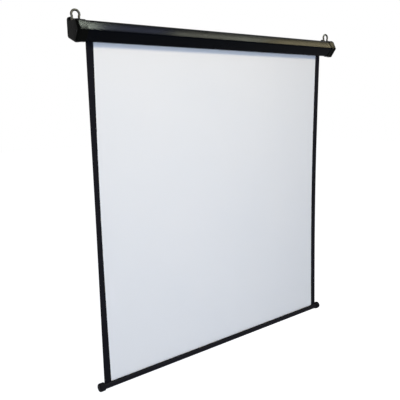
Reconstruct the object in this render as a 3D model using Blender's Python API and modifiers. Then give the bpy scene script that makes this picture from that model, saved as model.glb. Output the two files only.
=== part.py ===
"""Pull-down projection screen with a spring roller in a slim case, shown pulled right down.

Frame: +X to the viewer's right, +Y into the wall, +Z up, in metres.
Origin: the middle of the case's flat back face, where it lies on the wall.
Sizes below are in millimetres. A section is written as (depth, height) points:
depth is measured out from the wall, and height from the origin.
"""

import math

import bmesh
import bpy
import numpy as np
from mathutils import Matrix, Vector

MM = 0.001
GAP = 0.3

# Driving sizes of the screen
CLOTH_WIDTH = 1250.0
CLOTH_DEPTH = 25.0
CLOTH_THICK = 0.5
BORDER_WIDTH = 30.0
BAR_DROP = 1324.5
CASE_END = CLOTH_WIDTH / 2 + 26.0
CASE_WALL = 1.8
CAP_RIM = CLOTH_WIDTH / 2 + 15.5
CAP_RAISE = (CLOTH_WIDTH / 2 + 27.0, CLOTH_WIDTH / 2 + 40.0)
CAP_END = CLOTH_WIDTH / 2 + 52.5
CAP_WALL = 2.2
CAP_ROUND = 8.0

# Sections of the case, and of its end caps at their rim and at their raised outer end
CASE_SECTION = [
    (0, 28.5),
    (62, 21.5),
    (69.5, 16.1),
    (83, -11.5),
    (83, -15.5),
    (57, -46.8),
    (43, -46.8),
    (0, -28.5),
]
CAP_RIM_SECTION = [
    (0, 30.7),
    (35, 26.7),
    (62.5, 23.6),
    (71, 18),
    (86, -13.3),
    (58.2, -48.9),
    (43.3, -48.9),
    (0, -30.6),
]
CAP_END_SECTION = [
    (0, 36.5),
    (35, 36.5),
    (62, 26),
    (71, 20.8),
    (86, -13.3),
    (58.5, -50.8),
    (43.5, -50.8),
    (0, -34.2),
]
SLOT_BACK = 11.0
SLOT_FRONT = 37.0
SCREW_PORTS = [(5.4, 21.8), (78.0, -13.5), (5.4, -23.5)]
PORT_RADIUS = 4.0
PORT_BORE = 1.9

# Roller, its dead shaft and its ratchet
ROLLER_DEPTH = 47.5
ROLLER_HEIGHT = -7.0
ROLLER_RADIUS = 20.0
ROLLER_WALL = 1.5
ROLLER_END = CLOTH_WIDTH / 2 + 5.0
WRAP_PITCH = 1.0
SHAFT_RADIUS = 4.0
SHAFT_LENGTH = 340.0
SHAFT_SHOULDER = 4.0
BLADE = (3.0, 8.0)
ANCHOR_RADIUS = 13.5
ANCHOR_LENGTH = 12.0
BUSH_RADIUS = 6.8
BUSH_COLLAR = 9.0
PLUG_DEPTH = 18.0
FLANGE_THICK = 3.0
CAM_RADIUS = 6.0
CAM_NOTCH = (1.3, 3.0)
PAWL_THICK = 3.0
PAWL_STEP = 9.0
PAWL_STOP_REACH = 8.0
PAWL_LENGTH = 12.0
PAWL_HALF_WIDTH = 2.0
PAWL_OPEN = math.radians(25)
PIVOT_RADIUS = 1.3
SPRING_TURNS = 24
SPRING_RADIUS = 11.0
SPRING_WIRE = 1.2

# Steel end plates and the hanging loops that they carry
PLATE_THICK = 2.0
EAR_OUT = 14.0
EAR_HALF = 8.0
EAR_SPAN = (-9.0, 5.0)
EAR_CHAMFER = 4.0
WEB_HALF = 7.4
WEB_SPAN = (-8.4, -6.4)
HANGER_OUT = 34.5
HANGER_DEPTH = 30.0
HANGER_PIN_HEIGHT = 12.0
HANGER_PIN_RADIUS = 2.0
HANGER_WIRE = 3.2
HANGER_LEGS = 12.3
HANGER_BOW = 16.0
HANGER_TOP = 60.2
HANGER_EYE = 5.2
HANGER_FLARE = 6.0
CASE_NOTCH_HALF = 13.0
LEG_SLOT_HALF = 12.0

# Screws in the ends
CAP_SCREWS = [(11, -12), (66, -16)]
BOSS_RADIUS = 4.5
BOSS_BORE = 2.2
SEAT_RADIUS = 4.0
SEAT_DEPTH = 2.4
CAP_HEAD = 3.6
CAP_SHANK = 1.6
PLATE_HEAD = 2.9
PLATE_SHANK = 1.55
HEAD_HEIGHT = 1.9

# Bottom bar
BAR_RADIUS = 12.5
BAR_WALL = 1.2
BAR_SLOT = 4.0
BAR_END = CLOTH_WIDTH / 2 + 4.7
BAR_CAP_RADIUS = 16.6
BAR_CAP_RIM = CLOTH_WIDTH / 2 + 2.2
BAR_CAP_END = CLOTH_WIDTH / 2 + 24.5
BAR_CAP_EDGE = 6.0
HEM_ROD_RADIUS = 2.2
HEM_RISE = 4.0

# How the hanging cloth lies: bowed towards the wall, left border turned forwards
BOW_LEFT = 13.0
BOW_RIGHT = 9.5
BORDER_CURL = math.radians(22)

# Values that follow from these
PLATE_IN = CASE_END + GAP
PLATE_OUT = PLATE_IN + PLATE_THICK
HANGER_X = CLOTH_WIDTH / 2 + HANGER_OUT
BAR_HEIGHT = -BAR_DROP
WRAP_OUT = ROLLER_DEPTH - CLOTH_DEPTH
WRAP_IN = ROLLER_RADIUS + GAP + CLOTH_THICK / 2
CLOTH_TOP = ROLLER_HEIGHT - GAP
CLOTH_FOOT = BAR_HEIGHT + BAR_RADIUS + 2.0
FLANGE_END = ROLLER_END + GAP + FLANGE_THICK
PAWL_IN = FLANGE_END + GAP
PAWL_OUT = PAWL_IN + PAWL_THICK


def clear_scene():
    for old in list(bpy.data.objects):
        bpy.data.objects.remove(old)


def new_collection(name):
    made = bpy.data.collections.new(name)
    bpy.context.scene.collection.children.link(made)
    return made


def material(name, colour, roughness, metallic):
    made = bpy.data.materials.new(name)
    made.use_nodes = True
    made.diffuse_color = (*colour, 1.0)
    shader = made.node_tree.nodes["Principled BSDF"]
    shader.inputs["Base Color"].default_value = (*colour, 1.0)
    shader.inputs["Roughness"].default_value = roughness
    shader.inputs["Metallic"].default_value = metallic
    return made


clear_scene()
PARTS = new_collection("projection_screen")
CUTTERS = new_collection("projection_screen_cutters")
PAINTED_CASE = material("case_black_paint", (0.022, 0.022, 0.021), 0.38, 0.0)
CAP_PLASTIC = material("cap_black_plastic", (0.014, 0.014, 0.014), 0.42, 0.0)
BAR_PAINT = material("bar_black_paint", (0.013, 0.013, 0.014), 0.4, 0.0)
CLOTH_WHITE = material("cloth_matte_white", (0.86, 0.87, 0.87), 0.9, 0.0)
CLOTH_BLACK = material("cloth_black_border", (0.012, 0.012, 0.014), 0.85, 0.0)
LOOP_STEEL = material("loop_dull_steel", (0.10, 0.10, 0.09), 0.45, 0.9)
BRIGHT_STEEL = material("bright_zinc_steel", (0.55, 0.55, 0.56), 0.35, 1.0)
SPRING_STEEL = material("spring_steel", (0.20, 0.20, 0.21), 0.4, 1.0)
NYLON = material("natural_nylon", (0.62, 0.61, 0.56), 0.55, 0.0)


# Points of sections and outlines


def section(points):
    """(depth, height) points as (y, z) points of the row frame."""
    return [(-depth, height) for depth, height in points]


def ring(centre, radius, count=24):
    """Points round a circle in a section."""
    turns = [2 * math.pi * k / count for k in range(count)]
    return [
        (centre[0] + radius * math.cos(a), centre[1] + radius * math.sin(a))
        for a in turns
    ]


def shifted(points, distance):
    """A closed outline with every side moved inwards by a distance, or outwards if it is negative."""
    corners = [Vector(p) for p in points]
    area = sum(
        a.x * b.y - b.x * a.y for a, b in zip(corners, corners[1:] + corners[:1])
    )
    turn = 1.0 if area > 0 else -1.0
    moved = []
    for k, corner in enumerate(corners):
        before = (corner - corners[k - 1]).normalized()
        after = (corners[(k + 1) % len(corners)] - corner).normalized()
        normal_before = Vector((-before.y, before.x)) * turn
        normal_after = Vector((-after.y, after.x)) * turn
        middle = (normal_before + normal_after).normalized()
        reach = distance / middle.dot(normal_after)
        moved.append(tuple(corner + middle * reach))
    return moved


def height_between(low, high, depth):
    """Height at a depth on the straight side between two section points."""
    share = (depth - low[0]) / (high[0] - low[0])
    return low[1] + (high[1] - low[1]) * share


def slotted_case():
    """The case's wall as one open-sided outline: round the outside, then back along the inside."""
    inner = shifted(CASE_SECTION, CASE_WALL)

    def run(points):
        front, back = points[6], points[7]
        first = (SLOT_FRONT, height_between(front, back, SLOT_FRONT))
        last = (SLOT_BACK, height_between(front, back, SLOT_BACK))
        return [first, front, *points[5::-1], back, last]

    return run(CASE_SECTION) + run(inner)[::-1]


def slotted_tube(radius, wall, slot, count=28):
    """A tube's wall with a slot along its top, as one outline round (0, 0)."""

    def arc(r):
        half = math.asin(slot / 2 / r)
        steps = [
            math.pi / 2 + half + (2 * math.pi - 2 * half) * k / count
            for k in range(count + 1)
        ]
        return [(r * math.cos(a), r * math.sin(a)) for a in steps]

    return arc(radius) + arc(radius - wall)[::-1]


# Making objects


def finish(name, mesh, paint, pivot=None, smooth=True):
    """Links a mesh as a part, with its origin at the pivot that carries it."""
    welded = bmesh.new()
    welded.from_mesh(mesh)
    bmesh.ops.remove_doubles(welded, verts=welded.verts, dist=0.002 * MM)
    bmesh.ops.recalc_face_normals(welded, faces=welded.faces)
    welded.to_mesh(mesh)
    welded.free()
    made = bpy.data.objects.new(name, mesh)
    PARTS.objects.link(made)
    mesh.materials.clear()
    mesh.materials.append(paint)
    if pivot is not None:
        mesh.transform(Matrix.Translation(-pivot.matrix_world.translation))
        made.parent = pivot
    if smooth:
        mesh.shade_smooth()
        mesh.set_sharp_from_angle(angle=math.radians(35))
    return made


def pivot_at(name, x, depth, height):
    """An empty on a joint's axis, which carries what moves with that joint."""
    made = bpy.data.objects.new(name, None)
    made.location = Vector((x, -depth, height)) * MM
    made.empty_display_size = 0.03
    PARTS.objects.link(made)
    bpy.context.view_layer.update()
    return made


def curve_mesh(curve, place=None):
    """The evaluated mesh of a curve, in the row frame; the curve itself goes."""
    guide = bpy.data.objects.new(curve.name, curve)
    guide.matrix_world = place or Matrix.Identity(4)
    PARTS.objects.link(guide)
    depsgraph = bpy.context.evaluated_depsgraph_get()
    mesh = bpy.data.meshes.new_from_object(guide.evaluated_get(depsgraph))
    mesh.transform(guide.matrix_world)
    bpy.data.objects.remove(guide)
    return mesh


def extruded_mesh(name, outlines, x0, x1):
    """Flat outlines of a section carried along X. Every outline after the first is a hole."""
    curve = bpy.data.curves.new(name, "CURVE")
    curve.dimensions = "2D"
    curve.fill_mode = "BOTH"
    curve.extrude = abs(x1 - x0) / 2 * MM
    for outline in outlines:
        spline = curve.splines.new("POLY")
        spline.points.add(len(outline) - 1)
        for point, (y, z) in zip(spline.points, section(outline)):
            point.co = (y * MM, z * MM, 0.0, 1.0)
        spline.use_cyclic_u = True
    upright = Matrix(((0, 0, 1, 0), (1, 0, 0, 0), (0, 1, 0, 0), (0, 0, 0, 1)))
    place = Matrix.Translation(Vector(((x0 + x1) / 2 * MM, 0, 0))) @ upright
    return curve_mesh(curve, place)


def cylinder_mesh(name, radius, x0, x1, depth, height, count=24):
    """A round bar along X."""
    made = bmesh.new()
    bmesh.ops.create_cone(
        made,
        cap_ends=True,
        segments=count,
        radius1=radius * MM,
        radius2=radius * MM,
        depth=abs(x1 - x0) * MM,
    )
    along_x = Matrix.Rotation(math.pi / 2, 4, "Y")
    middle = Vector(((x0 + x1) / 2, -depth, height)) * MM
    made.transform(Matrix.Translation(middle) @ along_x)
    mesh = bpy.data.meshes.new(name)
    made.to_mesh(mesh)
    made.free()
    return mesh


def box_mesh(name, x0, x1, depth0, depth1, height0, height1):
    """A block between two corners, given as spans along X, depth and height."""
    made = bmesh.new()
    bmesh.ops.create_cube(made, size=1.0)
    spans = Vector((abs(x1 - x0), abs(depth1 - depth0), abs(height1 - height0))) * MM
    middle = (
        Vector(((x0 + x1) / 2, -(depth0 + depth1) / 2, (height0 + height1) / 2)) * MM
    )
    made.transform(Matrix.Translation(middle) @ Matrix.Diagonal(spans).to_4x4())
    mesh = bpy.data.meshes.new(name)
    made.to_mesh(mesh)
    made.free()
    return mesh


def lofted_mesh(name, rows):
    """A closed solid through outlines with equally many points, each at its own place along X."""
    made = bmesh.new()
    loops = []
    for x, outline in rows:
        corners = [(x * MM, y * MM, z * MM) for y, z in section(outline)]
        loops.append([made.verts.new(corner) for corner in corners])
    for near, far in zip(loops, loops[1:]):
        for k in range(len(near)):
            made.faces.new((near[k - 1], near[k], far[k], far[k - 1]))
    made.faces.new(loops[0])
    made.faces.new(loops[-1])
    bmesh.ops.triangulate(made, faces=made.faces)
    mesh = bpy.data.meshes.new(name)
    made.to_mesh(mesh)
    made.free()
    return mesh


def tool(mesh):
    """An object that only cuts or is joined: drawn as wire and left out of the parts."""
    closed = bmesh.new()
    closed.from_mesh(mesh)
    bmesh.ops.remove_doubles(closed, verts=closed.verts, dist=0.002 * MM)
    bmesh.ops.recalc_face_normals(closed, faces=closed.faces)
    closed.to_mesh(mesh)
    closed.free()
    made = bpy.data.objects.new(mesh.name, mesh)
    made.hide_render = True
    made.display_type = "WIRE"
    CUTTERS.objects.link(made)
    return made


def combine(part, mesh, operation):
    """Cuts a part with a mesh, or joins the mesh to it."""
    step = part.modifiers.new(mesh.name, "BOOLEAN")
    step.operation = operation
    step.object = tool(mesh)
    return part


def cut(part, mesh):
    return combine(part, mesh, "DIFFERENCE")


def join(part, mesh):
    return combine(part, mesh, "UNION")


def turned_mesh(name, profile, depth, height, side=1, count=24):
    """A turned piece on an X axis. The profile is (radius, x) points of its outer side and its bore."""
    outline = bmesh.new()
    corners = [outline.verts.new((r * MM, 0.0, -x * MM)) for r, x in profile]
    for a, b in zip(corners, corners[1:] + corners[:1]):
        outline.edges.new((a, b))
    mesh = bpy.data.meshes.new(name)
    outline.to_mesh(mesh)
    outline.free()
    guide = bpy.data.objects.new(name, mesh)
    PARTS.objects.link(guide)
    screw = guide.modifiers.new("turn", "SCREW")
    screw.steps = count
    screw.render_steps = count
    screw.use_merge_vertices = True
    screw.merge_threshold = 0.00001
    depsgraph = bpy.context.evaluated_depsgraph_get()
    made = bpy.data.meshes.new_from_object(guide.evaluated_get(depsgraph))
    bpy.data.objects.remove(guide)
    facing = -math.pi / 2 if side > 0 else math.pi / 2
    place = Matrix.Translation(Vector((0, -depth, height)) * MM)
    made.transform(place @ Matrix.Rotation(facing, 4, "Y"))
    return made


def wire_mesh(name, points, radius, resolution):
    """A round wire along straight steps between points, in millimetres of the row frame."""
    curve = bpy.data.curves.new(name, "CURVE")
    curve.dimensions = "3D"
    curve.bevel_depth = radius * MM
    curve.bevel_resolution = resolution
    curve.use_fill_caps = True
    spline = curve.splines.new("POLY")
    spline.points.add(len(points) - 1)
    for point, place in zip(spline.points, points):
        point.co = (*(Vector(place) * MM), 1.0)
    return curve_mesh(curve)


def report_gap(name, points, turn_points, thickness):
    """Prints the least clear distance between turns that lie at least half a turn apart."""
    path = np.array(points)
    apart = np.linalg.norm(path[:, None] - path[None], axis=2)
    order = np.arange(len(path))
    near = np.abs(order[:, None] - order[None]) < turn_points // 2
    apart[near] = np.inf
    print(f"{name}: least gap {apart.min() - thickness:.2f} mm")


# The case and its ends


def case_shell():
    mesh = extruded_mesh("case_shell", [slotted_case()], -CASE_END, CASE_END)
    case = finish("case_shell", mesh, PAINTED_CASE, smooth=False)
    for number, (depth, height) in enumerate(SCREW_PORTS):
        port = (f"port_{number}", -CASE_END + GAP, CASE_END - GAP, depth, height)
        bore = (f"port_bore_{number}", -CASE_END - 1, CASE_END + 1, depth, height)
        join(case, cylinder_mesh(port[0], PORT_RADIUS, *port[1:], 16))
        cut(case, cylinder_mesh(bore[0], PORT_BORE, *bore[1:], 12))
    for side in (-1, 1):
        notch = box_mesh(
            f"hanger_notch_{side}",
            side * (CAP_RIM - 0.1),
            side * (CASE_END + 1),
            HANGER_DEPTH - CASE_NOTCH_HALF,
            HANGER_DEPTH + CASE_NOTCH_HALF,
            10,
            40,
        )
        cut(case, notch)
    return case


def cap_rows(side, wall):
    """Outlines of an end cap from where it starts to rise to its round edge, moved in by a wall."""
    low = shifted(CAP_RIM_SECTION, wall)
    high = shifted(CAP_END_SECTION, wall)
    radius = CAP_ROUND - wall
    rows = [(CAP_RAISE[0], low), (CAP_RAISE[1], high)]
    for k in range(5):
        angle = math.pi / 2 * k / 4
        x = CAP_END - CAP_ROUND + radius * math.sin(angle)
        rows.append((x, shifted(high, radius * (1 - math.cos(angle)))))
    return [(side * x, outline) for x, outline in rows]


def against_wall(outline):
    """An outline whose first and last points are laid back onto the wall."""
    first, *middle, last = outline
    return [(0.0, first[1]), *middle, (0.0, last[1])]


def end_cap(side, name):
    """A moulded cap: a skirt over the case's end, a raised end with round edges, two screw bosses."""
    rows = [(x, against_wall(outline)) for x, outline in cap_rows(side, 0.0)]
    rim = (side * CAP_RIM, CAP_RIM_SECTION)
    cap = finish(name, lofted_mesh(name, [rim, *rows]), CAP_PLASTIC)
    sleeve_section = shifted(CASE_SECTION, -0.35)
    sleeve = extruded_mesh(
        f"{name}_sleeve",
        [sleeve_section],
        side * (CAP_RIM - 1),
        side * (PLATE_OUT + GAP),
    )
    cut(cap, sleeve)
    cut(cap, lofted_mesh(f"{name}_hollow", cap_rows(side, CAP_WALL)))
    for number, (depth, height) in enumerate(CAP_SCREWS):
        inner = PLATE_OUT + 2 * GAP
        boss = cylinder_mesh(
            f"{name}_boss_{number}",
            BOSS_RADIUS,
            side * inner,
            side * (CAP_END - 1.0),
            depth,
            height,
            16,
        )
        bore = cylinder_mesh(
            f"{name}_bore_{number}",
            BOSS_BORE,
            side * (inner - 1),
            side * (CAP_END + 1),
            depth,
            height,
            16,
        )
        seat = cylinder_mesh(
            f"{name}_seat_{number}",
            SEAT_RADIUS,
            side * (CAP_END - SEAT_DEPTH),
            side * (CAP_END + 1),
            depth,
            height,
            20,
        )
        join(cap, boss)
        cut(cap, bore)
        cut(cap, seat)
    for number, (low, high) in enumerate(leg_slots()):
        slot = box_mesh(
            f"{name}_leg_slot_{number}",
            side * low,
            side * high,
            HANGER_DEPTH - LEG_SLOT_HALF,
            HANGER_DEPTH + LEG_SLOT_HALF,
            14,
            45,
        )
        cut(cap, slot)
    return cap


def leg_slots():
    """Spans along X of the two slots that a hanging loop's legs stand in; the inner one is open."""
    inner = HANGER_X - HANGER_LEGS
    outer = HANGER_X + HANGER_LEGS
    half = HANGER_WIRE + 0.4
    return [(CAP_RIM - 1, inner + half), (outer - half, outer + half)]


def screws(name, head_x, tip_x, places, paint, head, shank):
    """Pan-head screws along X, heads outwards, each its own part."""
    side = 1 if head_x > tip_x else -1
    top, tip = abs(head_x), abs(tip_x)
    profile = [
        (0.0, top),
        (head * 0.7, top - 0.1),
        (head, top - 0.9),
        (head, top - HEAD_HEIGHT),
        (shank, top - HEAD_HEIGHT),
        (shank, tip + 1.0),
        (0.6, tip),
        (0.0, tip),
    ]
    for number, (depth, height) in enumerate(places, 1):
        screw = f"{name}_{number}"
        finish(screw, turned_mesh(screw, profile, depth, height, side, 14), paint)


def end_screws(side, word):
    """Two screws hold a cap to its end plate, and three hold the plate to the case's screw ports."""
    head, tip = side * (CAP_END - 0.4), side * (PLATE_IN - 1)
    name = f"{word}_cap_screw"
    screws(name, head, tip, CAP_SCREWS, CAP_PLASTIC, CAP_HEAD, CAP_SHANK)
    head, tip = side * (PLATE_OUT + GAP + HEAD_HEIGHT), side * (CASE_END - 14)
    name = f"{word}_plate_screw"
    screws(name, head, tip, SCREW_PORTS, BRIGHT_STEEL, PLATE_HEAD, PLATE_SHANK)


def end_plate(side, name, shaft_hole):
    """A steel plate across the case's end, with a folded saddle for the hanging loop's pin."""
    pin = (HANGER_DEPTH, HANGER_PIN_HEIGHT)
    holes = [ring(port, 2.0, 16) for port in SCREW_PORTS]
    holes += [ring(place, 2.1, 16) for place in CAP_SCREWS]
    holes += [ring(pin, HANGER_PIN_RADIUS + GAP, 16), shaft_hole]
    outline = shifted(CASE_SECTION, 0.6)
    plate = finish(
        name,
        extruded_mesh(name, [outline, *holes], side * PLATE_IN, side * PLATE_OUT),
        BRIGHT_STEEL,
    )
    ear_out = PLATE_OUT + EAR_OUT
    web = box_mesh(
        f"{name}_web",
        side * (PLATE_OUT - 0.5),
        side * (ear_out - 0.5),
        HANGER_DEPTH - WEB_HALF,
        HANGER_DEPTH + WEB_HALF,
        HANGER_PIN_HEIGHT + WEB_SPAN[0],
        HANGER_PIN_HEIGHT + WEB_SPAN[1],
    )
    low, high = (HANGER_PIN_HEIGHT + reach for reach in EAR_SPAN)
    ear_outline = [
        (HANGER_DEPTH - EAR_HALF, low),
        (HANGER_DEPTH - EAR_HALF, high - EAR_CHAMFER),
        (HANGER_DEPTH - EAR_HALF + EAR_CHAMFER, high),
        (HANGER_DEPTH + EAR_HALF - EAR_CHAMFER, high),
        (HANGER_DEPTH + EAR_HALF, high - EAR_CHAMFER),
        (HANGER_DEPTH + EAR_HALF, low),
    ]
    ear = extruded_mesh(
        f"{name}_ear",
        [ear_outline, ring(pin, HANGER_PIN_RADIUS + GAP, 16)],
        side * (ear_out - PLATE_THICK),
        side * ear_out,
    )
    join(plate, web)
    join(plate, ear)
    return plate


# The hanging loops


def hanger_path(side):
    """Up one leg, out a little above the cap, round the bow and down the other leg."""
    x = side * HANGER_X
    arc_height = HANGER_TOP - HANGER_WIRE - HANGER_BOW
    flare_foot = arc_height - HANGER_FLARE
    up = [(-HANGER_LEGS, HANGER_PIN_HEIGHT)]
    for k in range(6):
        share = k / 5
        ease = share * share * (3 - 2 * share)
        reach = HANGER_LEGS + (HANGER_BOW - HANGER_LEGS) * ease
        up.append((-reach, flare_foot + (arc_height - flare_foot) * share))
    arc = []
    for k in range(1, 12):
        angle = math.pi - math.pi * k / 12
        bow = (HANGER_BOW * math.cos(angle), arc_height + HANGER_BOW * math.sin(angle))
        arc.append(bow)
    down = [(-a, z) for a, z in reversed(up)]
    return [(x + a, -HANGER_DEPTH, z) for a, z in up + arc + down]


def hanger_loop(side, name, pivot):
    """A bent wire loop whose two feet are eyes on the hanger pin."""
    loop = finish(name, wire_mesh(name, hanger_path(side), HANGER_WIRE, 2), LOOP_STEEL, pivot)
    for number, leg in enumerate((-HANGER_LEGS, HANGER_LEGS)):
        x = side * HANGER_X + leg
        place = (HANGER_DEPTH, HANGER_PIN_HEIGHT, 16)
        eye = (x - HANGER_WIRE + 0.1, x + HANGER_WIRE - 0.1)
        join(loop, cylinder_mesh(f"{name}_eye_{number}", HANGER_EYE, *eye, *place))
        bore = cylinder_mesh(
            f"{name}_bore_{number}",
            HANGER_PIN_RADIUS + GAP,
            x - 4,
            x + 4,
            *place,
        )
        cut(loop, bore)
    return loop


def hanger_pin(side, name):
    reach = HANGER_LEGS + 2.6
    x = side * HANGER_X
    place = (HANGER_DEPTH, HANGER_PIN_HEIGHT, 16)
    mesh = cylinder_mesh(name, HANGER_PIN_RADIUS, x - reach, x + reach, *place)
    return finish(name, mesh, BRIGHT_STEEL)


# The roller


def roller_tube(pivot):
    axis = (ROLLER_DEPTH, ROLLER_HEIGHT)
    outlines = [
        ring(axis, ROLLER_RADIUS, 32),
        ring(axis, ROLLER_RADIUS - ROLLER_WALL, 32),
    ]
    mesh = extruded_mesh("roller_tube", outlines, -ROLLER_END, ROLLER_END)
    return finish("roller_tube", mesh, BRIGHT_STEEL, pivot)


def wrap_outline():
    """The cloth that stays on the roller: a spiral from where it leaves the wall side of the roller,
    over the top and round inwards, one wrap pitch nearer the tube at every turn."""
    turns = (WRAP_OUT - WRAP_IN) / WRAP_PITCH
    first = GAP / WRAP_OUT
    middle = []
    for k in range(int(24 * turns)):
        angle = first + 2 * math.pi * k / 24
        radius = WRAP_OUT - WRAP_PITCH * angle / (2 * math.pi)
        middle.append((angle, radius))
    half = CLOTH_THICK / 2

    def side(offset):
        return [
            (
                ROLLER_DEPTH - (r + offset) * math.cos(a),
                ROLLER_HEIGHT + (r + offset) * math.sin(a),
            )
            for a, r in middle
        ]

    centre = side(0.0)
    report_gap("wound_cloth", centre, 24, CLOTH_THICK)
    return side(half) + side(-half)[::-1]


def wound_cloth(pivot):
    half = CLOTH_WIDTH / 2
    mesh = extruded_mesh("wound_cloth", [wrap_outline()], -half, half)
    return finish("wound_cloth", mesh, CLOTH_WHITE, pivot)


def plug_profile(bore):
    """Half section of a roller end plug: spigot in the tube, flange against its end."""
    spigot = ROLLER_RADIUS - ROLLER_WALL - GAP
    return [
        (bore, FLANGE_END),
        (ROLLER_RADIUS - 0.5, FLANGE_END),
        (ROLLER_RADIUS, FLANGE_END - 0.5),
        (ROLLER_RADIUS, ROLLER_END + GAP),
        (spigot, ROLLER_END + GAP),
        (spigot, ROLLER_END - PLUG_DEPTH),
        (bore, ROLLER_END - PLUG_DEPTH),
    ]


def pawl_pivot(side):
    """(depth, height) of a pawl's pivot: above and in front of the cam, or opposite to it."""
    height = CAM_RADIUS + GAP + PAWL_HALF_WIDTH
    return (ROLLER_DEPTH + side * PAWL_STEP, ROLLER_HEIGHT + side * height)


def pawl_direction(side, swing):
    """Unit vector along a pawl in the section: 0 lies along the cam, and a swing lifts it off."""
    return Vector((-side * math.cos(swing), side * math.sin(swing)))


def pawl_stop(side):
    """Centre of the pin that a pawl meets when it has swung right out."""
    along = pawl_direction(side, PAWL_OPEN)
    across = Vector((along.y, -along.x))
    outwards = across if across.y * side > 0 else -across
    reach = PAWL_HALF_WIDTH + GAP + PIVOT_RADIUS
    return Vector(pawl_pivot(side)) + along * PAWL_STOP_REACH + outwards * reach


def pawl_pin_places():
    """Name and place of the four pins: each pawl's pivot and its outer stop."""
    return {
        "upper_pawl_pivot": pawl_pivot(1),
        "lower_pawl_pivot": pawl_pivot(-1),
        "upper_pawl_stop": pawl_stop(1),
        "lower_pawl_stop": pawl_stop(-1),
    }


def pawl_pins(pivot):
    """Four pins through the ratchet plug's flange."""
    foot = -(FLANGE_END - FLANGE_THICK + 0.4)
    head = -(PAWL_OUT + 0.8)
    for name, place in pawl_pin_places().items():
        mesh = cylinder_mesh(name, PIVOT_RADIUS, foot, head, *place, 12)
        finish(name, mesh, BRIGHT_STEEL, pivot)


def ratchet_plug(pivot):
    mesh = turned_mesh(
        "ratchet_plug",
        plug_profile(SHAFT_RADIUS + GAP),
        ROLLER_DEPTH,
        ROLLER_HEIGHT,
        -1,
        32,
    )
    plug = finish("ratchet_plug", mesh, NYLON, pivot)
    for name, place in pawl_pin_places().items():
        hole = cylinder_mesh(
            f"{name}_hole",
            PIVOT_RADIUS + GAP,
            -(FLANGE_END - FLANGE_THICK + 0.1),
            -(FLANGE_END + 1),
            *place,
            12,
        )
        cut(plug, hole)
    return plug


def pawl(side, name, swing, pivot):
    """A small steel pawl: a bar with round ends and a pivot hole."""
    start = Vector(pawl_pivot(side))
    along = pawl_direction(side, swing)
    heading = math.atan2(along.y, along.x)
    tip = start + along * (PAWL_LENGTH - PAWL_HALF_WIDTH)
    outline = []
    for centre, turn in ((start, math.pi / 2), (tip, -math.pi / 2)):
        for k in range(9):
            angle = heading + turn + math.pi * k / 8
            spoke = Vector((math.cos(angle), math.sin(angle)))
            outline.append(tuple(centre + spoke * PAWL_HALF_WIDTH))
    hole = ring(tuple(start), PIVOT_RADIUS + 0.25, 12)
    mesh = extruded_mesh(name, [outline, hole], -PAWL_IN, -PAWL_OUT)
    return finish(name, mesh, SPRING_STEEL, pivot)


def idle_plug(pivot):
    mesh = turned_mesh(
        "idle_plug",
        plug_profile(SHAFT_RADIUS + GAP),
        ROLLER_DEPTH,
        ROLLER_HEIGHT,
        1,
        32,
    )
    return finish("idle_plug", mesh, NYLON, pivot)


def gudgeon_pin(pivot):
    """The live pin at the right: fast in the idle plug, turning in the bush."""
    axis = (ROLLER_DEPTH, ROLLER_HEIGHT)
    inner = ROLLER_END - PLUG_DEPTH + 1
    mesh = cylinder_mesh("gudgeon_pin", SHAFT_RADIUS, inner, PLATE_OUT + 3, *axis)
    return finish("gudgeon_pin", mesh, BRIGHT_STEEL, pivot)


def roller_bush():
    """A nylon bush in the right end plate, its collar on the roller's side."""
    bore = SHAFT_RADIUS + GAP
    profile = [
        (bore, PLATE_OUT + 1.5),
        (BUSH_RADIUS, PLATE_OUT + 1.5),
        (BUSH_RADIUS, PLATE_IN - GAP),
        (BUSH_COLLAR, PLATE_IN - GAP),
        (BUSH_COLLAR, PLATE_IN - 3),
        (bore, PLATE_IN - 3),
    ]
    mesh = turned_mesh("roller_bush", profile, ROLLER_DEPTH, ROLLER_HEIGHT, 1)
    return finish("roller_bush", mesh, NYLON)


def spring_shaft():
    """The dead shaft: round inside the roller, with a flat blade held by the left end plate."""
    axis = (ROLLER_DEPTH, ROLLER_HEIGHT)
    shoulder = PLATE_IN - SHAFT_SHOULDER
    inner = shoulder - SHAFT_LENGTH
    shaft = finish(
        "spring_shaft",
        cylinder_mesh("spring_shaft", SHAFT_RADIUS, -shoulder, -inner, *axis),
        BRIGHT_STEEL,
    )
    thick, tall = BLADE
    blade = box_mesh(
        "shaft_blade",
        -(shoulder - 2),
        -(PLATE_OUT + 1.5),
        ROLLER_DEPTH - thick / 2,
        ROLLER_DEPTH + thick / 2,
        ROLLER_HEIGHT - tall / 2,
        ROLLER_HEIGHT + tall / 2,
    )
    return join(shaft, blade)


def ratchet_cam():
    """A disc fast on the dead shaft, with the one notch that a pawl drops into."""
    axis = (ROLLER_DEPTH, ROLLER_HEIGHT)
    deep, tall = CAM_NOTCH
    outlines = [ring(axis, CAM_RADIUS, 28), ring(axis, SHAFT_RADIUS + GAP, 20)]
    mesh = extruded_mesh("ratchet_cam", outlines, -PAWL_IN, -PAWL_OUT)
    cam = finish("ratchet_cam", mesh, SPRING_STEEL)
    notch = box_mesh(
        "cam_notch",
        -(PAWL_IN - 1),
        -(PAWL_OUT + 1),
        ROLLER_DEPTH - CAM_RADIUS - 1,
        ROLLER_DEPTH - CAM_RADIUS + deep,
        ROLLER_HEIGHT - tall / 2,
        ROLLER_HEIGHT + tall / 2,
    )
    return cut(cam, notch)


def spring_span():
    """Where the spring starts behind the ratchet plug, and where it ends at the shaft's anchor."""
    start = -(ROLLER_END - PLUG_DEPTH) + GAP
    anchor = -(PLATE_IN - SHAFT_SHOULDER - SHAFT_LENGTH) - ANCHOR_LENGTH - 2
    return start, anchor - GAP


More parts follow.
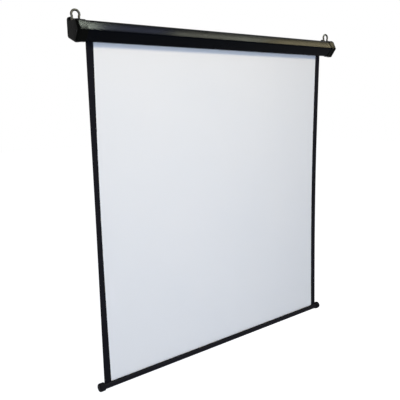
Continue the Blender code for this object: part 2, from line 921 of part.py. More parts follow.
def shaft_anchor():
    """The collar on the inner end of the dead shaft that holds the spring's still end."""
    axis = (ROLLER_DEPTH, ROLLER_HEIGHT)
    start = spring_span()[1] + GAP
    outlines = [ring(axis, ANCHOR_RADIUS, 28), ring(axis, SHAFT_RADIUS + GAP, 20)]
    mesh = extruded_mesh("shaft_anchor", outlines, start, start + ANCHOR_LENGTH)
    return finish("shaft_anchor", mesh, NYLON)


def torsion_spring(pivot):
    """One wire: a short straight end, a helix at a steady pitch, and another straight end."""
    start, end = spring_span()
    lead = 2.5 * SPRING_WIRE
    count = SPRING_TURNS * 10
    coil = []
    for k in range(count + 1):
        angle = 2 * math.pi * SPRING_TURNS * k / count
        x = start + lead + (end - start - 2 * lead) * k / count
        y = -ROLLER_DEPTH + SPRING_RADIUS * math.cos(angle)
        z = ROLLER_HEIGHT + SPRING_RADIUS * math.sin(angle)
        coil.append((x, y, z))
    y, z = coil[0][1:]
    points = [(start, y, z), *coil, (end, y, z)]
    report_gap("torsion_spring", points, 10, 2 * SPRING_WIRE)
    mesh = wire_mesh("torsion_spring", points, SPRING_WIRE, 1)
    return finish("torsion_spring", mesh, SPRING_STEEL, pivot)


# The cloth


def cloth_place(across, up):
    """Where a point of the hanging sheet lies, in millimetres. across runs 0 to 1 from the left edge,
    up runs 0 to 1 from the bar to the roller. Both ends are straight. In between, the sheet bows
    towards the wall as half a sine wave, and the left border turns forwards by the curl angle."""
    wave = math.sin(math.pi * up)
    bow = (BOW_LEFT + (BOW_RIGHT - BOW_LEFT) * across) * wave
    from_left = across * CLOTH_WIDTH
    turn = BORDER_CURL * wave
    strip = max(0.0, BORDER_WIDTH - from_left)
    x = -CLOTH_WIDTH / 2 + from_left + strip * (1 - math.cos(turn))
    y = -CLOTH_DEPTH + bow - strip * math.sin(turn)
    z = CLOTH_FOOT + (CLOTH_TOP - CLOTH_FOOT) * up
    return x, y, z


def cloth_columns():
    """Shares across the width where the sheet's grid has its lines: finer on the two borders."""
    border = BORDER_WIDTH / CLOTH_WIDTH
    middle = np.linspace(border, 1 - border, 9)
    return [0.0, border / 3, border * 2 / 3, *middle, 1.0]


def screen_cloth():
    columns = cloth_columns()
    rows = 24
    grid = bmesh.new()
    bmesh.ops.create_grid(
        grid, x_segments=len(columns) - 1, y_segments=rows, size=1.0
    )
    for vert in grid.verts:
        column = round((vert.co.x + 1) / 2 * (len(columns) - 1))
        up = (vert.co.y + 1) / 2
        vert.co = Vector(cloth_place(columns[column], up)) * MM
    mesh = bpy.data.meshes.new("screen_cloth")
    grid.to_mesh(mesh)
    grid.free()
    cloth = finish("screen_cloth", mesh, CLOTH_WHITE)
    mesh.materials.append(CLOTH_BLACK)
    for face in mesh.polygons:
        inner = min(abs(mesh.vertices[v].co.x) for v in face.vertices)
        in_border = inner > (CLOTH_WIDTH / 2 - BORDER_WIDTH - 1) * MM
        face.material_index = 1 if in_border else 0
    thick = cloth.modifiers.new("thickness", "SOLIDIFY")
    thick.thickness = CLOTH_THICK * MM
    thick.offset = 0.0
    return cloth


# The bottom bar


def bar_section(points):
    """Points round the bar's own axis as section points."""
    return [(CLOTH_DEPTH + a, BAR_HEIGHT + b) for a, b in points]


def bar_tube(pivot):
    outline = bar_section(slotted_tube(BAR_RADIUS, BAR_WALL, BAR_SLOT))
    mesh = extruded_mesh("bar_tube", [outline], -BAR_END, BAR_END)
    return finish("bar_tube", mesh, BAR_PAINT, pivot)


def bar_cap(side, name, pivot):
    """A turned cup over the tube's end, with a round outer edge."""
    inside = BAR_RADIUS + GAP
    edge = BAR_CAP_EDGE
    corner = []
    for k in range(5):
        angle = math.pi / 2 * k / 4
        radius = BAR_CAP_RADIUS - edge + edge * math.sin(angle)
        corner.append((radius, BAR_CAP_END - edge + edge * math.cos(angle)))
    profile = [
        (0.0, BAR_CAP_END),
        *corner,
        (BAR_CAP_RADIUS, BAR_CAP_RIM + 0.8),
        (BAR_CAP_RADIUS - 0.8, BAR_CAP_RIM),
        (inside, BAR_CAP_RIM),
        (inside, BAR_END + GAP),
        (0.0, BAR_END + GAP),
    ]
    mesh = turned_mesh(name, profile, CLOTH_DEPTH, BAR_HEIGHT, side, 28)
    return finish(name, mesh, CAP_PLASTIC, pivot)


def hem_rod(pivot):
    half = CLOTH_WIDTH / 2 - 1
    place = (CLOTH_DEPTH, BAR_HEIGHT + HEM_RISE, 12)
    mesh = cylinder_mesh("hem_rod", HEM_ROD_RADIUS, -half, half, *place)
    return finish("hem_rod", mesh, BRIGHT_STEEL, pivot)


def cloth_hem(pivot):
    """The sheet's lower edge: down through the bar's slot and round the hem rod."""
    half = CLOTH_WIDTH / 2
    bore = HEM_ROD_RADIUS + GAP
    outer = bore + 2 * CLOTH_THICK
    half_thick = CLOTH_THICK / 2
    leave = math.asin(half_thick / outer)
    loop = []
    for k in range(17):
        angle = math.pi / 2 + leave + (2 * math.pi - 2 * leave) * k / 16
        loop.append((outer * math.cos(angle), HEM_RISE + outer * math.sin(angle)))
    top = CLOTH_FOOT - BAR_HEIGHT - GAP
    outline = bar_section([(-half_thick, top), *loop, (half_thick, top)])
    hole = bar_section(ring((0, HEM_RISE), bore, 14))
    mesh = extruded_mesh("cloth_hem", [outline, hole], -half, half)
    return finish("cloth_hem", mesh, CLOTH_WHITE, pivot)


def build():
    roller = pivot_at("roller_axis", 0, ROLLER_DEPTH, ROLLER_HEIGHT)
    bar = pivot_at("bottom_bar_slide", 0, CLOTH_DEPTH, BAR_HEIGHT)
    upper = pivot_at("upper_pawl_axis", -PAWL_IN, *pawl_pivot(1))
    lower = pivot_at("lower_pawl_axis", -PAWL_IN, *pawl_pivot(-1))
    upper.parent = roller
    lower.parent = roller
    upper.location -= roller.location
    lower.location -= roller.location
    bpy.context.view_layer.update()

    case_shell()
    bush_hole = ring((ROLLER_DEPTH, ROLLER_HEIGHT), BUSH_RADIUS + GAP)
    half_thick, half_tall = BLADE[0] / 2 + GAP, BLADE[1] / 2 + GAP
    blade_hole = [
        (ROLLER_DEPTH + a * half_thick, ROLLER_HEIGHT + b * half_tall)
        for a, b in ((-1, -1), (1, -1), (1, 1), (-1, 1))
    ]
    for side, word, hole in ((-1, "left", blade_hole), (1, "right", bush_hole)):
        end_cap(side, f"{word}_end_cap")
        end_plate(side, f"{word}_end_plate", hole)
        end_screws(side, word)
        hanger_pin(side, f"{word}_hanger_pin")
        axis = pivot_at(
            f"{word}_hanger_axis", side * HANGER_X, HANGER_DEPTH, HANGER_PIN_HEIGHT
        )
        hanger_loop(side, f"{word}_hanger_loop", axis)
        bar_cap(side, f"{word}_bar_cap", bar)

    roller_tube(roller)
    wound_cloth(roller)
    ratchet_plug(roller)
    idle_plug(roller)
    gudgeon_pin(roller)
    pawl_pins(roller)
    torsion_spring(roller)
    roller_bush()
    spring_shaft()
    shaft_anchor()
    ratchet_cam()
    pawl(1, "upper_pawl", 0.0, upper)
    pawl(-1, "lower_pawl", PAWL_OPEN, lower)

    screen_cloth()
    bar_tube(bar)
    hem_rod(bar)
    cloth_hem(bar)


build()
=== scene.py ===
"""Looks of a pull-down projection screen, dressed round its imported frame.

Sizes are in millimetres until MM turns them into metres. A section is written as (depth, height)
points: depth is measured out from the wall, and height from the middle of the case's back.
"""

import math

import bmesh
import bpy
import numpy as np
from mathutils import Euler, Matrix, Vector


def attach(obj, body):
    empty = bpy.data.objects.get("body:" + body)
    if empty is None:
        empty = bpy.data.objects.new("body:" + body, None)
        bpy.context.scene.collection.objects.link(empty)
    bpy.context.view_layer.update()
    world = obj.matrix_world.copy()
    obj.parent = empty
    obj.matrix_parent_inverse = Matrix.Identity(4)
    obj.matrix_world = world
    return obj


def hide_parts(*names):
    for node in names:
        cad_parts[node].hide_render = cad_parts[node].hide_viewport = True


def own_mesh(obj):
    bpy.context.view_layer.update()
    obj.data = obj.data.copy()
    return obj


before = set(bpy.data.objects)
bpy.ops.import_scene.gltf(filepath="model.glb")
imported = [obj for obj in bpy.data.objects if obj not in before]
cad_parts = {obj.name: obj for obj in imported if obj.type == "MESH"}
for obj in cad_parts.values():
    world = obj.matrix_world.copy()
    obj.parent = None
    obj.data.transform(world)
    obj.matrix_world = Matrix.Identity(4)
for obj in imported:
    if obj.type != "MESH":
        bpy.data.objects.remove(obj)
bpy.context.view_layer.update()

MM = 0.001
ENDS = ((-1, "left"), (1, "right"))

# The room between parts that lie one in another, and how far a cutting shape runs past its cut
GAP = 0.3
PAST = 1.0

# The sheet. Its depth is where it hangs, and a bow is how far an edge swings towards the wall
SHEET_WIDTH = 1250.0
SHEET_DEPTH = 25.0
SHEET_TOP = -7.3
SHEET_FOOT = -1310.0
SHEET_THICK = 0.5
BORDER_WIDTH = 30.0
BOW_LEFT = 13.0
BOW_RIGHT = 9.5
BORDER_CURL = math.radians(22)
CURL_POWER = 1.4
RIPPLE_HEIGHT = 0.35
RIPPLES_ACROSS = 3.4
RIPPLES_UP = 0.35

# The case. Its section starts at the wall and runs over the top, the shoulder and the nose
CASE_SECTION = [
    (0, 28.5),
    (62, 21.5),
    (69.5, 16.1),
    (83, -11.5),
    (83, -15.5),
    (57, -46.8),
    (43, -46.8),
    (0, -28.5),
]
CASE_END = 651.0
CASE_WALL = 1.8
CASE_CORNER = 2.2
CASE_SHOULDER = 3.5
CASE_NOSE = 6.5
SLOT_FRONT = 37.0
SLOT_BACK = 11.0
SCREW_PORTS = [(5.4, 21.8), (78.0, -13.5), (5.4, -23.5)]
PORT_RADIUS = 4.0
PORT_BORE = 1.9

# The end mouldings, at their rim over the case and at their raised outer end
CAP_RIM_SECTION = [
    (0, 30.7),
    (35, 27),
    (62.5, 23.6),
    (70.4, 18.6),
    (86, -13.3),
    (58.2, -48.9),
    (43.3, -48.9),
    (0, -30.6),
]
CAP_END_SECTION = [
    (0, 31.2),
    (35, 27.8),
    (62, 24.6),
    (70.4, 18.6),
    (86, -13.3),
    (58.5, -50.8),
    (43.5, -50.8),
    (0, -34.2),
]
EAR_LOW_SECTION = [(0.4, 28.5), (15, 27), (18.5, 22), (18.5, 2), (0.4, 2)]
EAR_END_SECTION = [(0.4, 36.5), (15, 35.7), (18.5, 31), (18.5, 2), (0.4, 2)]
CAP_RIM = 640.5
CAP_RAISE = (652.0, 665.0)
CAP_END = 677.5
CAP_WALL = 2.2
CAP_ROUND = 8.0

# How far each outline of the rim's edge lies past the rim, and how far it is drawn in
CAP_RIM_EDGE = [(0.0, 0.5), (0.15, 0.15), (0.5, 0.0), (0.9, 0.0)]

# The radius of the corners, and what it loses for each millimetre drawn in and of wall
CAP_CORNER = 3.2
CORNER_LOSS_DRAWN = 0.15
CORNER_LOSS_WALL = 0.6

# The inside of the end mouldings
SLEEVE_GAP = 0.35
PLATE_OUT = 653.3
BOSS_START = PLATE_OUT + 0.6
BOSS_END = CAP_END - 1
BOSS_RADIUS = 5.4

# Their screws, seats and holes
CAP_SCREWS = [(11, -12), (66, -16)]
SEAT_RADIUS = 4.0
SEAT_DEPTH = 2.4
SCREW_HOLE = 2.2
SCREW_SUNK = 0.4
SCREW_SIDES = 72
SCREW_RINGS = 26
SCREW_HEAD = 3.5
SCREW_RISE = 1.9
SCREW_STEM = 1.6
STEM_LENGTH = 25.3
STEM_POINT = 26.8
DOME_FALL = 0.9
DOME_POWER = 3.2
RECESS_DEEP = 1.2
RECESS_HALF = 0.5
RECESS_REACH = 2.0
RECESS_SIDE_FADE = 0.16
RECESS_END_FADE = 0.3

# The roller and what is wound on it
ROLLER_DEPTH = 47.5
ROLLER_HEIGHT = -7.0
ROLLER_RADIUS = 20.0
WRAP_PITCH = 1.0
WRAP_OUT = ROLLER_DEPTH - SHEET_DEPTH
WRAP_IN = ROLLER_RADIUS + GAP + SHEET_THICK / 2

# The hanging loops. Their legs and bow are measured out from each loop's middle
LOOP_X = 659.5
LOOP_DEPTH = 30.0
LOOP_PIN = 12.0
LOOP_WIRE = 4.1
LOOP_LEGS = 13.1
LOOP_BOW = 14.8
LOOP_TOP = 60.8
LOOP_FLARE = 6.0
LOOP_EYE = 5.2
LOOP_BORE = 2.3
EYE_HALF = 2.9
BORE_HALF = 5

# The notch in the case's top and the slots in the end mouldings, where the loops stand
NOTCH_HALF = 13.0
NOTCH_START = CAP_RIM - 0.1
LEG_SLOT_HALF = 12.4
LEG_SLOT_CORNER = 0.9
LEG_SLOT_FOOT = 4.0
LEG_SLOT_TOP = 45.0
LEG_SLOT_START = CAP_RIM - 3

# The bottom bar, its caps and the rod in the sheet's hem
BAR_HEIGHT = -1324.5
BAR_RADIUS = 12.5
BAR_WALL = 1.2
BAR_SLOT = 4.0
BAR_END = 629.7
BAR_CAP_RADIUS = 16.6
BAR_CAP_RIM = 627.2
BAR_CAP_END = 649.5
BAR_CAP_EDGE = 6.0
BAR_CAP_RIM_EDGE = [(0.0, 0.8), (0.25, 0.25), (0.8, 0.0)]
HEM_ROD = 2.2
HEM_RISE = 4.0

# The hem comes down into the bar and goes round the rod between these angles
HEM_START = math.pi / 2 - 0.12
HEM_STOP = math.pi / 2 - 2 * math.pi + 0.35
HEM_TOP_GAP = 0.1
HEM_JOIN = 0.4

# The camera stands at the left and a little below the case
CAMERA_PLACE = (-1.506, -1.7405, -0.2596)
CAMERA_TURN = (79.705, 1.11, -38.796)
CAMERA_LENS = 47.88
CAMERA_SENSOR = 36.0

# The room, in metres. Three lamps light the screen. Each is given as its name, place, target, size,
# watts and colour
FLOOR_HEIGHT = -2.1
FLOOR_SIZE = 40.0
FLOOR_LIFT = 0.92
FILL_COLOUR = (0.76, 0.87, 1.0, 1.0)
FILL_STRENGTH = 0.2
WHITE = (1.0, 1.0, 1.0, 1.0)
LAMPS = [
    ("front_lamp", (-0.7, -2.9, -0.1), (0.0, 0.0, -0.2), (1.6, 1.4), 26, (0.67, 0.78, 1.0)),
    ("low_lamp", (-0.6, -2.9, -0.9), (0.0, 0.0, -0.3), (1.2, 0.8), 23, (0.67, 0.78, 1.0)),
    ("key_lamp", (-0.5, -2.4, 0.95), (0.0, 0.0, -0.2), (0.7, 0.5), 35, (1.0, 0.83, 0.54)),
]

# Four strips show only in shiny faces. They hang at one height and look square across at the case's
# front. Each is given as its name, x, y, size, watts and colour
STRIP_HEIGHT = 2.75
STRIP_AIM = (-0.08, 0.0)
STRIPS = [
    ("end_strip", 0.85, -1.64, (0.4, 0.2), 66, (0.90, 1.0, 0.81)),
    ("left_strip", 1.2, -1.62, (1.4, 0.16), 18, (0.60, 0.66, 1.0)),
    ("middle_strip", 2.7, -1.66, (1.4, 0.16), 35, (0.98, 1.0, 0.81)),
    ("right_strip", 4.3, -1.67, (1.7, 0.2), 38, (1.0, 0.87, 0.51)),
]


# Surfaces

WELD_REACH = 2e-6
FLAT_REACH = 1e-7
SMOOTH_ANGLE = math.radians(32)


def smooth_by_angle(mesh):
    """Shades a mesh smooth but for its sharp edges."""
    mesh.shade_smooth()
    mesh.set_sharp_from_angle(angle=SMOOTH_ANGLE)


def weld(mesh):
    """Merges seams and poles, and turns every face of the closed shape outwards."""
    shell = bmesh.new()
    shell.from_mesh(mesh)
    bmesh.ops.remove_doubles(shell, verts=shell.verts, dist=WELD_REACH)
    bmesh.ops.dissolve_degenerate(shell, edges=shell.edges, dist=FLAT_REACH)
    bmesh.ops.recalc_face_normals(shell, faces=shell.faces)
    shell.to_mesh(mesh)
    shell.free()


def solid(name, points, faces, materials, kinds=None):
    """An object from a grid's points in millimetres. kinds holds each face's material number."""
    mesh = bpy.data.meshes.new(name)
    flat = np.asarray(points, float).reshape(-1, 3) * MM
    mesh.from_pydata(flat.tolist(), [], np.asarray(faces).tolist())
    for paint in materials:
        mesh.materials.append(paint)
    if kinds is not None:
        mesh.polygons.foreach_set("material_index", np.asarray(kinds, np.int32))
    weld(mesh)
    smooth_by_angle(mesh)
    made = bpy.data.objects.new(name, mesh)
    bpy.context.scene.collection.objects.link(made)
    return made


def dress(piece, body, slot, *nodes):
    """The piece moves with a body and stands for these nodes, which it hides. slot is not used."""
    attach(piece, body)
    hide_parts(*nodes)


def grid_faces(rows, columns, wrap=False):
    """Quads between neighbouring points of a grid, row by row. wrap joins the last column to the
    first."""
    row, column = np.meshgrid(np.arange(rows - 1), np.arange(columns - (not wrap)), indexing="ij")
    beside = (column + 1) % columns
    quads = [row * columns + column, row * columns + beside]
    quads += [(row + 1) * columns + beside, (row + 1) * columns + column]
    return np.stack(quads, -1).reshape(-1, 4)


def walled(outer, inner, whole=None):
    """Two grids of points as the two sides of a wall, closed all round its edges. whole says which
    cells of the grid have a wall, and the edges of the cells that are left out are closed too.
    Returns points, faces, and each face's side (0 outer, 1 inner, 2 edge) and column."""
    rows, columns = outer.shape[:2]
    if whole is None:
        whole = np.ones((rows - 1, columns - 1), bool)
    count = rows * columns
    keep = whole.ravel()
    front = grid_faces(rows, columns)[keep]
    cell_columns = np.tile(np.arange(columns - 1), rows - 1)[keep]
    padded = np.pad(whole, 1)
    across = padded[:-1, 1:-1] != padded[1:, 1:-1]
    along = padded[1:-1, :-1] != padded[1:-1, 1:]
    row, column = np.nonzero(across)
    level = np.stack([row * columns + column, row * columns + column + 1], -1)
    row_up, column_up = np.nonzero(along)
    upright = np.stack([row_up * columns + column_up, (row_up + 1) * columns + column_up], -1)
    pairs = np.concatenate([level, upright])
    rim = np.concatenate([pairs, pairs[:, ::-1] + count], 1)
    rim_columns = np.concatenate([column, np.clip(column_up, 0, columns - 2)])
    points = np.concatenate([outer.reshape(-1, 3), inner.reshape(-1, 3)])
    faces = np.concatenate([front, front[:, ::-1] + count, rim])
    sides = np.repeat([0, 1, 2], [len(front), len(front), len(rim)])
    return points, faces, sides, np.concatenate([cell_columns, cell_columns, rim_columns])


def turned(profile, depth, height, count):
    """A profile of (radius, x) points swept once round an X axis: y and z are the axis plus the
    radius times the cosine and sine of the turn."""
    profile = np.asarray(profile, float)
    turn = np.arange(count) * 2 * np.pi / count
    radius, x = profile[:, :1], profile[:, 1:]
    y = -depth + radius * np.cos(turn)
    z = height + radius * np.sin(turn)
    points = np.stack([x + 0 * turn, y, z], -1)
    return points, grid_faces(len(profile), count, wrap=True)


def round_bar(radius, x0, x1, depth, height, count=48):
    """A round bar along X from one station to the other, with flat ends."""
    profile = [(0, x0), (radius, x0), (radius, x1), (0, x1)]
    return turned(profile, depth, height, count)


def swept(path, radius, count=20):
    """A round wire along a path that lies in a plane of constant depth. Each ring stands square to
    the path: one of its axes is the path's normal in that plane and the other is Y. Both ends close
    flat."""
    path = np.asarray(path, float)
    along = np.gradient(path, axis=0)
    along /= np.linalg.norm(along, axis=1, keepdims=True)
    out = np.stack([along[:, 2], 0 * along[:, 0], -along[:, 0]], -1)
    path = np.concatenate([path[:1], path, path[-1:]])
    out = np.concatenate([out[:1], out, out[-1:]])
    reach = np.full(len(path), radius)
    reach[[0, -1]] = 0.0
    turn = np.arange(count) * 2 * np.pi / count
    ring = out[:, None] * np.cos(turn)[None, :, None]
    ring = ring + np.array([0.0, 1.0, 0.0]) * np.sin(turn)[None, :, None]
    points = path[:, None] + ring * reach[:, None, None]
    return points, grid_faces(len(path), count, wrap=True)


def inset(corners, distance):
    """A closed clockwise outline with its sides moved inwards, by one distance or by one for each
    side. A new corner is where its two moved sides cross."""
    corners = np.asarray(corners, float)
    ahead = np.roll(corners, -1, 0) - corners
    ahead /= np.linalg.norm(ahead, axis=1, keepdims=True)
    inward = np.stack([ahead[:, 1], -ahead[:, 0]], -1)
    distance = np.broadcast_to(distance, len(corners)).astype(float)
    both_sides = np.stack([np.roll(inward, 1, 0), inward], 1)
    both_distances = np.stack([np.roll(distance, 1), distance], -1)[..., None]
    return corners + np.linalg.solve(both_sides, both_distances)[..., 0]


def rounded(corners, radius, steps=6, closed=True):
    """A clockwise outline with its corners replaced by arcs that touch both sides, of one radius or
    of one for each corner. Along an arc the outward normal turns evenly from one side's to the
    other's, and each point is the arc's centre plus the radius times the normal. Returns the points
    and the normals. An open outline keeps its ends."""
    corners = np.asarray(corners, float)
    radius = np.broadcast_to(radius, len(corners)).astype(float)[:, None]
    before, after = corners - np.roll(corners, 1, 0), np.roll(corners, -1, 0) - corners
    before /= np.linalg.norm(before, axis=1, keepdims=True)
    after /= np.linalg.norm(after, axis=1, keepdims=True)
    out_before = np.stack([-before[:, 1], before[:, 0]], -1)
    out_after = np.stack([-after[:, 1], after[:, 0]], -1)
    turn = np.arccos(np.clip((before * after).sum(1), -1, 1))
    reach = radius * np.tan(turn / 2)[:, None]
    centre = corners - before * reach - out_before * radius
    share = np.linspace(0, 1, steps + 1)[None, :, None]
    angle = turn[:, None, None]
    weight = np.sin((1 - share) * angle), np.sin(share * angle)
    normals = weight[0] * out_before[:, None] + weight[1] * out_after[:, None]
    normals = normals / np.sin(angle)
    points = centre[:, None] + normals * radius[:, None]
    if closed:
        return points.reshape(-1, 2), normals.reshape(-1, 2)
    body, body_normals = points[1:-1].reshape(-1, 2), normals[1:-1].reshape(-1, 2)
    points = np.concatenate([corners[:1], body, corners[-1:]])
    normals = np.concatenate([out_after[:1], body_normals, out_before[-1:]])
    return points, normals


def lipped(path, normal, thickness, steps=5):
    """A path widened into a wall of even thickness with both its ends rounded over: near an end,
    half the wall is the height of a half circle there. Returns the wall's two sides."""
    half = thickness / 2
    turn = np.linspace(0, np.pi / 2, steps + 1)[:, None]
    lips = []
    for end, beside in ((0, 1), (-1, -2)):
        step = path[beside] - path[end]
        step /= np.linalg.norm(step)
        lips.append(path[end] + step * half * (1 - np.cos(turn)))
    path = np.concatenate([lips[0], path[1:-1], lips[1][::-1]])
    start, stop = (np.repeat(normal[k][None], steps + 1, 0) for k in (0, -1))
    normal = np.concatenate([start, normal[1:-1], stop])
    reach = np.full((len(path), 1), half)
    reach[: steps + 1] = half * np.sin(turn)
    reach[-steps - 1 :] = reach[: steps + 1][::-1]
    return path + normal * reach, path - normal * reach


def placed(section, x):
    """(depth, height) points carried to a station along X."""
    section = np.asarray(section, float)
    return np.stack([np.full(len(section), float(x)), -section[:, 0], section[:, 1]], -1)


def capped(outlines):
    """Outlines of points, one after another, as one closed shell. The first and the last one close
    to their middles."""
    ends = outlines[0], outlines[-1]
    first, last = (np.repeat(end.mean(0)[None], len(end), 0) for end in ends)
    points = np.stack([first, *outlines, last])
    return points, grid_faces(len(points), points.shape[1], wrap=True)


def lofted(rows):
    """Rows of (x, outline) as one closed shell."""
    return capped([placed(outline, x) for x, outline in rows])


def eased(share):
    """Three times the square of a share less twice its cube: it starts and ends level."""
    return 3 * share**2 - 2 * share**3


def carve(piece, operation, shapes):
    """Cuts closed shapes out of a piece, or joins them to it, one at a time, and keeps the result
    as the piece's own mesh."""
    for points, faces in shapes:
        tool = solid("tool", points, faces, [])
        step = piece.modifiers.new("carve", "BOOLEAN")
        step.operation = operation
        step.object = tool
        depsgraph = bpy.context.evaluated_depsgraph_get()
        mesh = bpy.data.meshes.new_from_object(piece.evaluated_get(depsgraph))
        piece.modifiers.clear()
        piece.data = mesh
        weld(mesh)
        bpy.data.objects.remove(tool)
    smooth_by_angle(piece.data)


# Shader groups. Each reads a vector and one measure in metres, and gives one number

NOISE_ROUGHNESS = 0.55
PATCH_RANGE = (0.3, 0.7)
LINE_STRETCH = (0.01, 1.0, 1.0)


def linked(tree, source, target):
    """Joins an output socket to an input socket."""
    tree.links.new(source, target)


def new_group(name, measure, usual, result):
    """A node group with those sockets, and its two end nodes."""
    group = bpy.data.node_groups.new(name, "ShaderNodeTree")
    group.interface.new_socket("Vector", in_out="INPUT", socket_type="NodeSocketVector")
    socket = group.interface.new_socket(measure, in_out="INPUT", socket_type="NodeSocketFloat")
    socket.default_value = usual
    group.interface.new_socket(result, in_out="OUTPUT", socket_type="NodeSocketFloat")
    return group, group.nodes.new("NodeGroupInput"), group.nodes.new("NodeGroupOutput")


def calc(tree, operation, first, second=None, third=None):
    """A Math node fed by sockets or plain numbers."""
    node = tree.nodes.new("ShaderNodeMath")
    node.operation = operation
    for socket, value in zip(node.inputs, (first, second, third)):
        if value is None:
            continue
        if isinstance(value, (int, float)):
            socket.default_value = value
        else:
            linked(tree, value, socket)
    return node.outputs[0]


def noise(tree, vector, size, detail):
    """Noise whose grain has the size that a socket gives."""
    scale = calc(tree, "DIVIDE", 1.0, size)
    node = tree.nodes.new("ShaderNodeTexNoise")
    node.inputs["Detail"].default_value = detail
    node.inputs["Roughness"].default_value = NOISE_ROUGHNESS
    linked(tree, vector, node.inputs["Vector"])
    linked(tree, scale, node.inputs["Scale"])
    return node.outputs["Fac"]


def make_grain():
    """Fine moulded or sprayed grain: noise of the given size."""
    group, start, end = new_group("fine_grain", "Size", 0.001, "Height")
    height = noise(group, start.outputs["Vector"], start.outputs["Size"], detail=3.0)
    linked(group, height, end.inputs["Height"])
    return group


def make_patches():
    """Slow unevenness over a surface, as a mask from 0 to 1: noise with its middle spread out."""
    group, start, end = new_group("slow_patches", "Size", 0.1, "Mask")
    spread = group.nodes.new("ShaderNodeMapRange")
    spread.inputs["From Min"].default_value = PATCH_RANGE[0]
    spread.inputs["From Max"].default_value = PATCH_RANGE[1]
    value = noise(group, start.outputs["Vector"], start.outputs["Size"], detail=2.0)
    linked(group, value, spread.inputs["Value"])
    linked(group, spread.outputs["Result"], end.inputs["Mask"])
    return group


def make_drawn_lines():
    """Fine lines along X, as drawing or extruding leaves them: noise a hundred times as long along
    X as it is wide."""
    group, start, end = new_group("drawn_lines", "Width", 0.001, "Height")
    stretch = group.nodes.new("ShaderNodeVectorMath")
    stretch.operation = "MULTIPLY"
    stretch.inputs[1].default_value = LINE_STRETCH
    linked(group, start.outputs["Vector"], stretch.inputs[0])
    height = noise(group, stretch.outputs[0], start.outputs["Width"], detail=1.0)
    linked(group, height, end.inputs["Height"])
    return group


def make_weave():
    """A plain weave: threads that rise as the sine of one direction times the sine of the other,
    brought to the range from 0 to 1."""
    group, start, end = new_group("plain_weave", "Pitch", 0.001, "Height")
    split = group.nodes.new("ShaderNodeSeparateXYZ")
    linked(group, start.outputs["Vector"], split.inputs[0])
    turn = calc(group, "DIVIDE", 2 * math.pi, start.outputs["Pitch"])
    waves = [calc(group, "SINE", calc(group, "MULTIPLY", split.outputs[k], turn)) for k in (0, 1)]
    product = calc(group, "MULTIPLY", *waves)
    linked(group, calc(group, "MULTIPLY_ADD", product, 0.5, 0.5), end.inputs["Height"])
    return group


GRAIN = make_grain()
PATCHES = make_patches()
LINES = make_drawn_lines()
WEAVE = make_weave()


# Materials. Their sizes and depths are in metres

CLOTH_MAP = "cloth"
THREAD_PITCH = 0.0009


class Finish:
    """A material under construction: its tree, its shader and the vector that its patterns read."""

    def __init__(self, name, colour, roughness, metallic=0.0, specular=0.5, uv=None):
        self.material = bpy.data.materials.new(name)
        self.material.use_nodes = True
        self.tree = self.material.node_tree
        self.shader = self.tree.nodes["Principled BSDF"]
        self.colour = colour
        self.set("Base Color", (*colour, 1.0))
        self.set("Roughness", roughness)
        self.set("Metallic", metallic)
        self.set("Specular IOR Level", specular)
        if uv:
            source = self.tree.nodes.new("ShaderNodeUVMap")
            source.uv_map = uv
            self.vector = source.outputs["UV"]
        else:
            self.vector = self.tree.nodes.new("ShaderNodeTexCoord").outputs["Object"]
        self.bump = None

    def set(self, socket, value):
        """Gives one of the shader's sockets a plain value."""
        self.shader.inputs[socket].default_value = value

    def pattern(self, group, **values):
        """One of the shared groups with its own values. Gives its only output."""
        node = self.tree.nodes.new("ShaderNodeGroup")
        node.node_tree = group
        linked(self.tree, self.vector, node.inputs["Vector"])
        for label, value in values.items():
            node.inputs[label].default_value = value
        return node.outputs[0]

    def relief(self, height, depth):
        """Adds a bump of the given depth, on top of those before it."""
        node = self.tree.nodes.new("ShaderNodeBump")
        node.inputs["Distance"].default_value = depth
        linked(self.tree, height, node.inputs["Height"])
        if self.bump is not None:
            linked(self.tree, self.bump, node.inputs["Normal"])
        self.bump = node.outputs["Normal"]
        linked(self.tree, self.bump, self.shader.inputs["Normal"])

    def tint(self, mask, other):
        """Blends the base colour towards another one where the mask is high."""
        node = self.tree.nodes.new("ShaderNodeMix")
        node.data_type = "RGBA"
        node.inputs["A"].default_value = (*self.colour, 1.0)
        node.inputs["B"].default_value = (*other, 1.0)
        linked(self.tree, mask, node.inputs["Factor"])
        linked(self.tree, node.outputs["Result"], self.shader.inputs["Base Color"])

    def wear(self, other, low, high, size):
        """Patches of a size that lean to another colour and go from low to high roughness."""
        mask = self.pattern(PATCHES, Size=size)
        self.tint(mask, other)
        node = self.tree.nodes.new("ShaderNodeMapRange")
        node.inputs["To Min"].default_value = low
        node.inputs["To Max"].default_value = high
        linked(self.tree, mask, node.inputs["Value"])
        linked(self.tree, node.outputs["Result"], self.shader.inputs["Roughness"])


def cloth(name, colour, other, roughness):
    """Coated screen cloth: a fine weave under the coat, and very slow unevenness of colour."""
    made = Finish(name, colour, roughness, specular=0.04, uv=CLOTH_MAP)
    made.relief(made.pattern(WEAVE, Pitch=THREAD_PITCH), depth=0.00002)
    made.relief(made.pattern(GRAIN, Size=0.0004), depth=0.00001)
    made.tint(made.pattern(PATCHES, Size=0.35), other)
    return made.material


def coated_metal(name, colour, other, low, high, specular):
    """Sprayed satin coat on drawn metal: orange peel, faint lines along X and uneven gloss."""
    made = Finish(name, colour, low, specular=specular)
    made.relief(made.pattern(LINES, Width=0.0012), depth=0.00001)
    made.relief(made.pattern(GRAIN, Size=0.0011), depth=0.000012)
    made.wear(other, low, high, size=0.09)
    return made.material


def moulded(name, colour, other, low, high, grain=0.0008, specular=0.04):
    """Moulded plastic with the fine sparked grain of its tool."""
    made = Finish(name, colour, low, specular=specular)
    made.relief(made.pattern(GRAIN, Size=grain), depth=0.00002)
    made.wear(other, low, high, size=0.03)
    return made.material


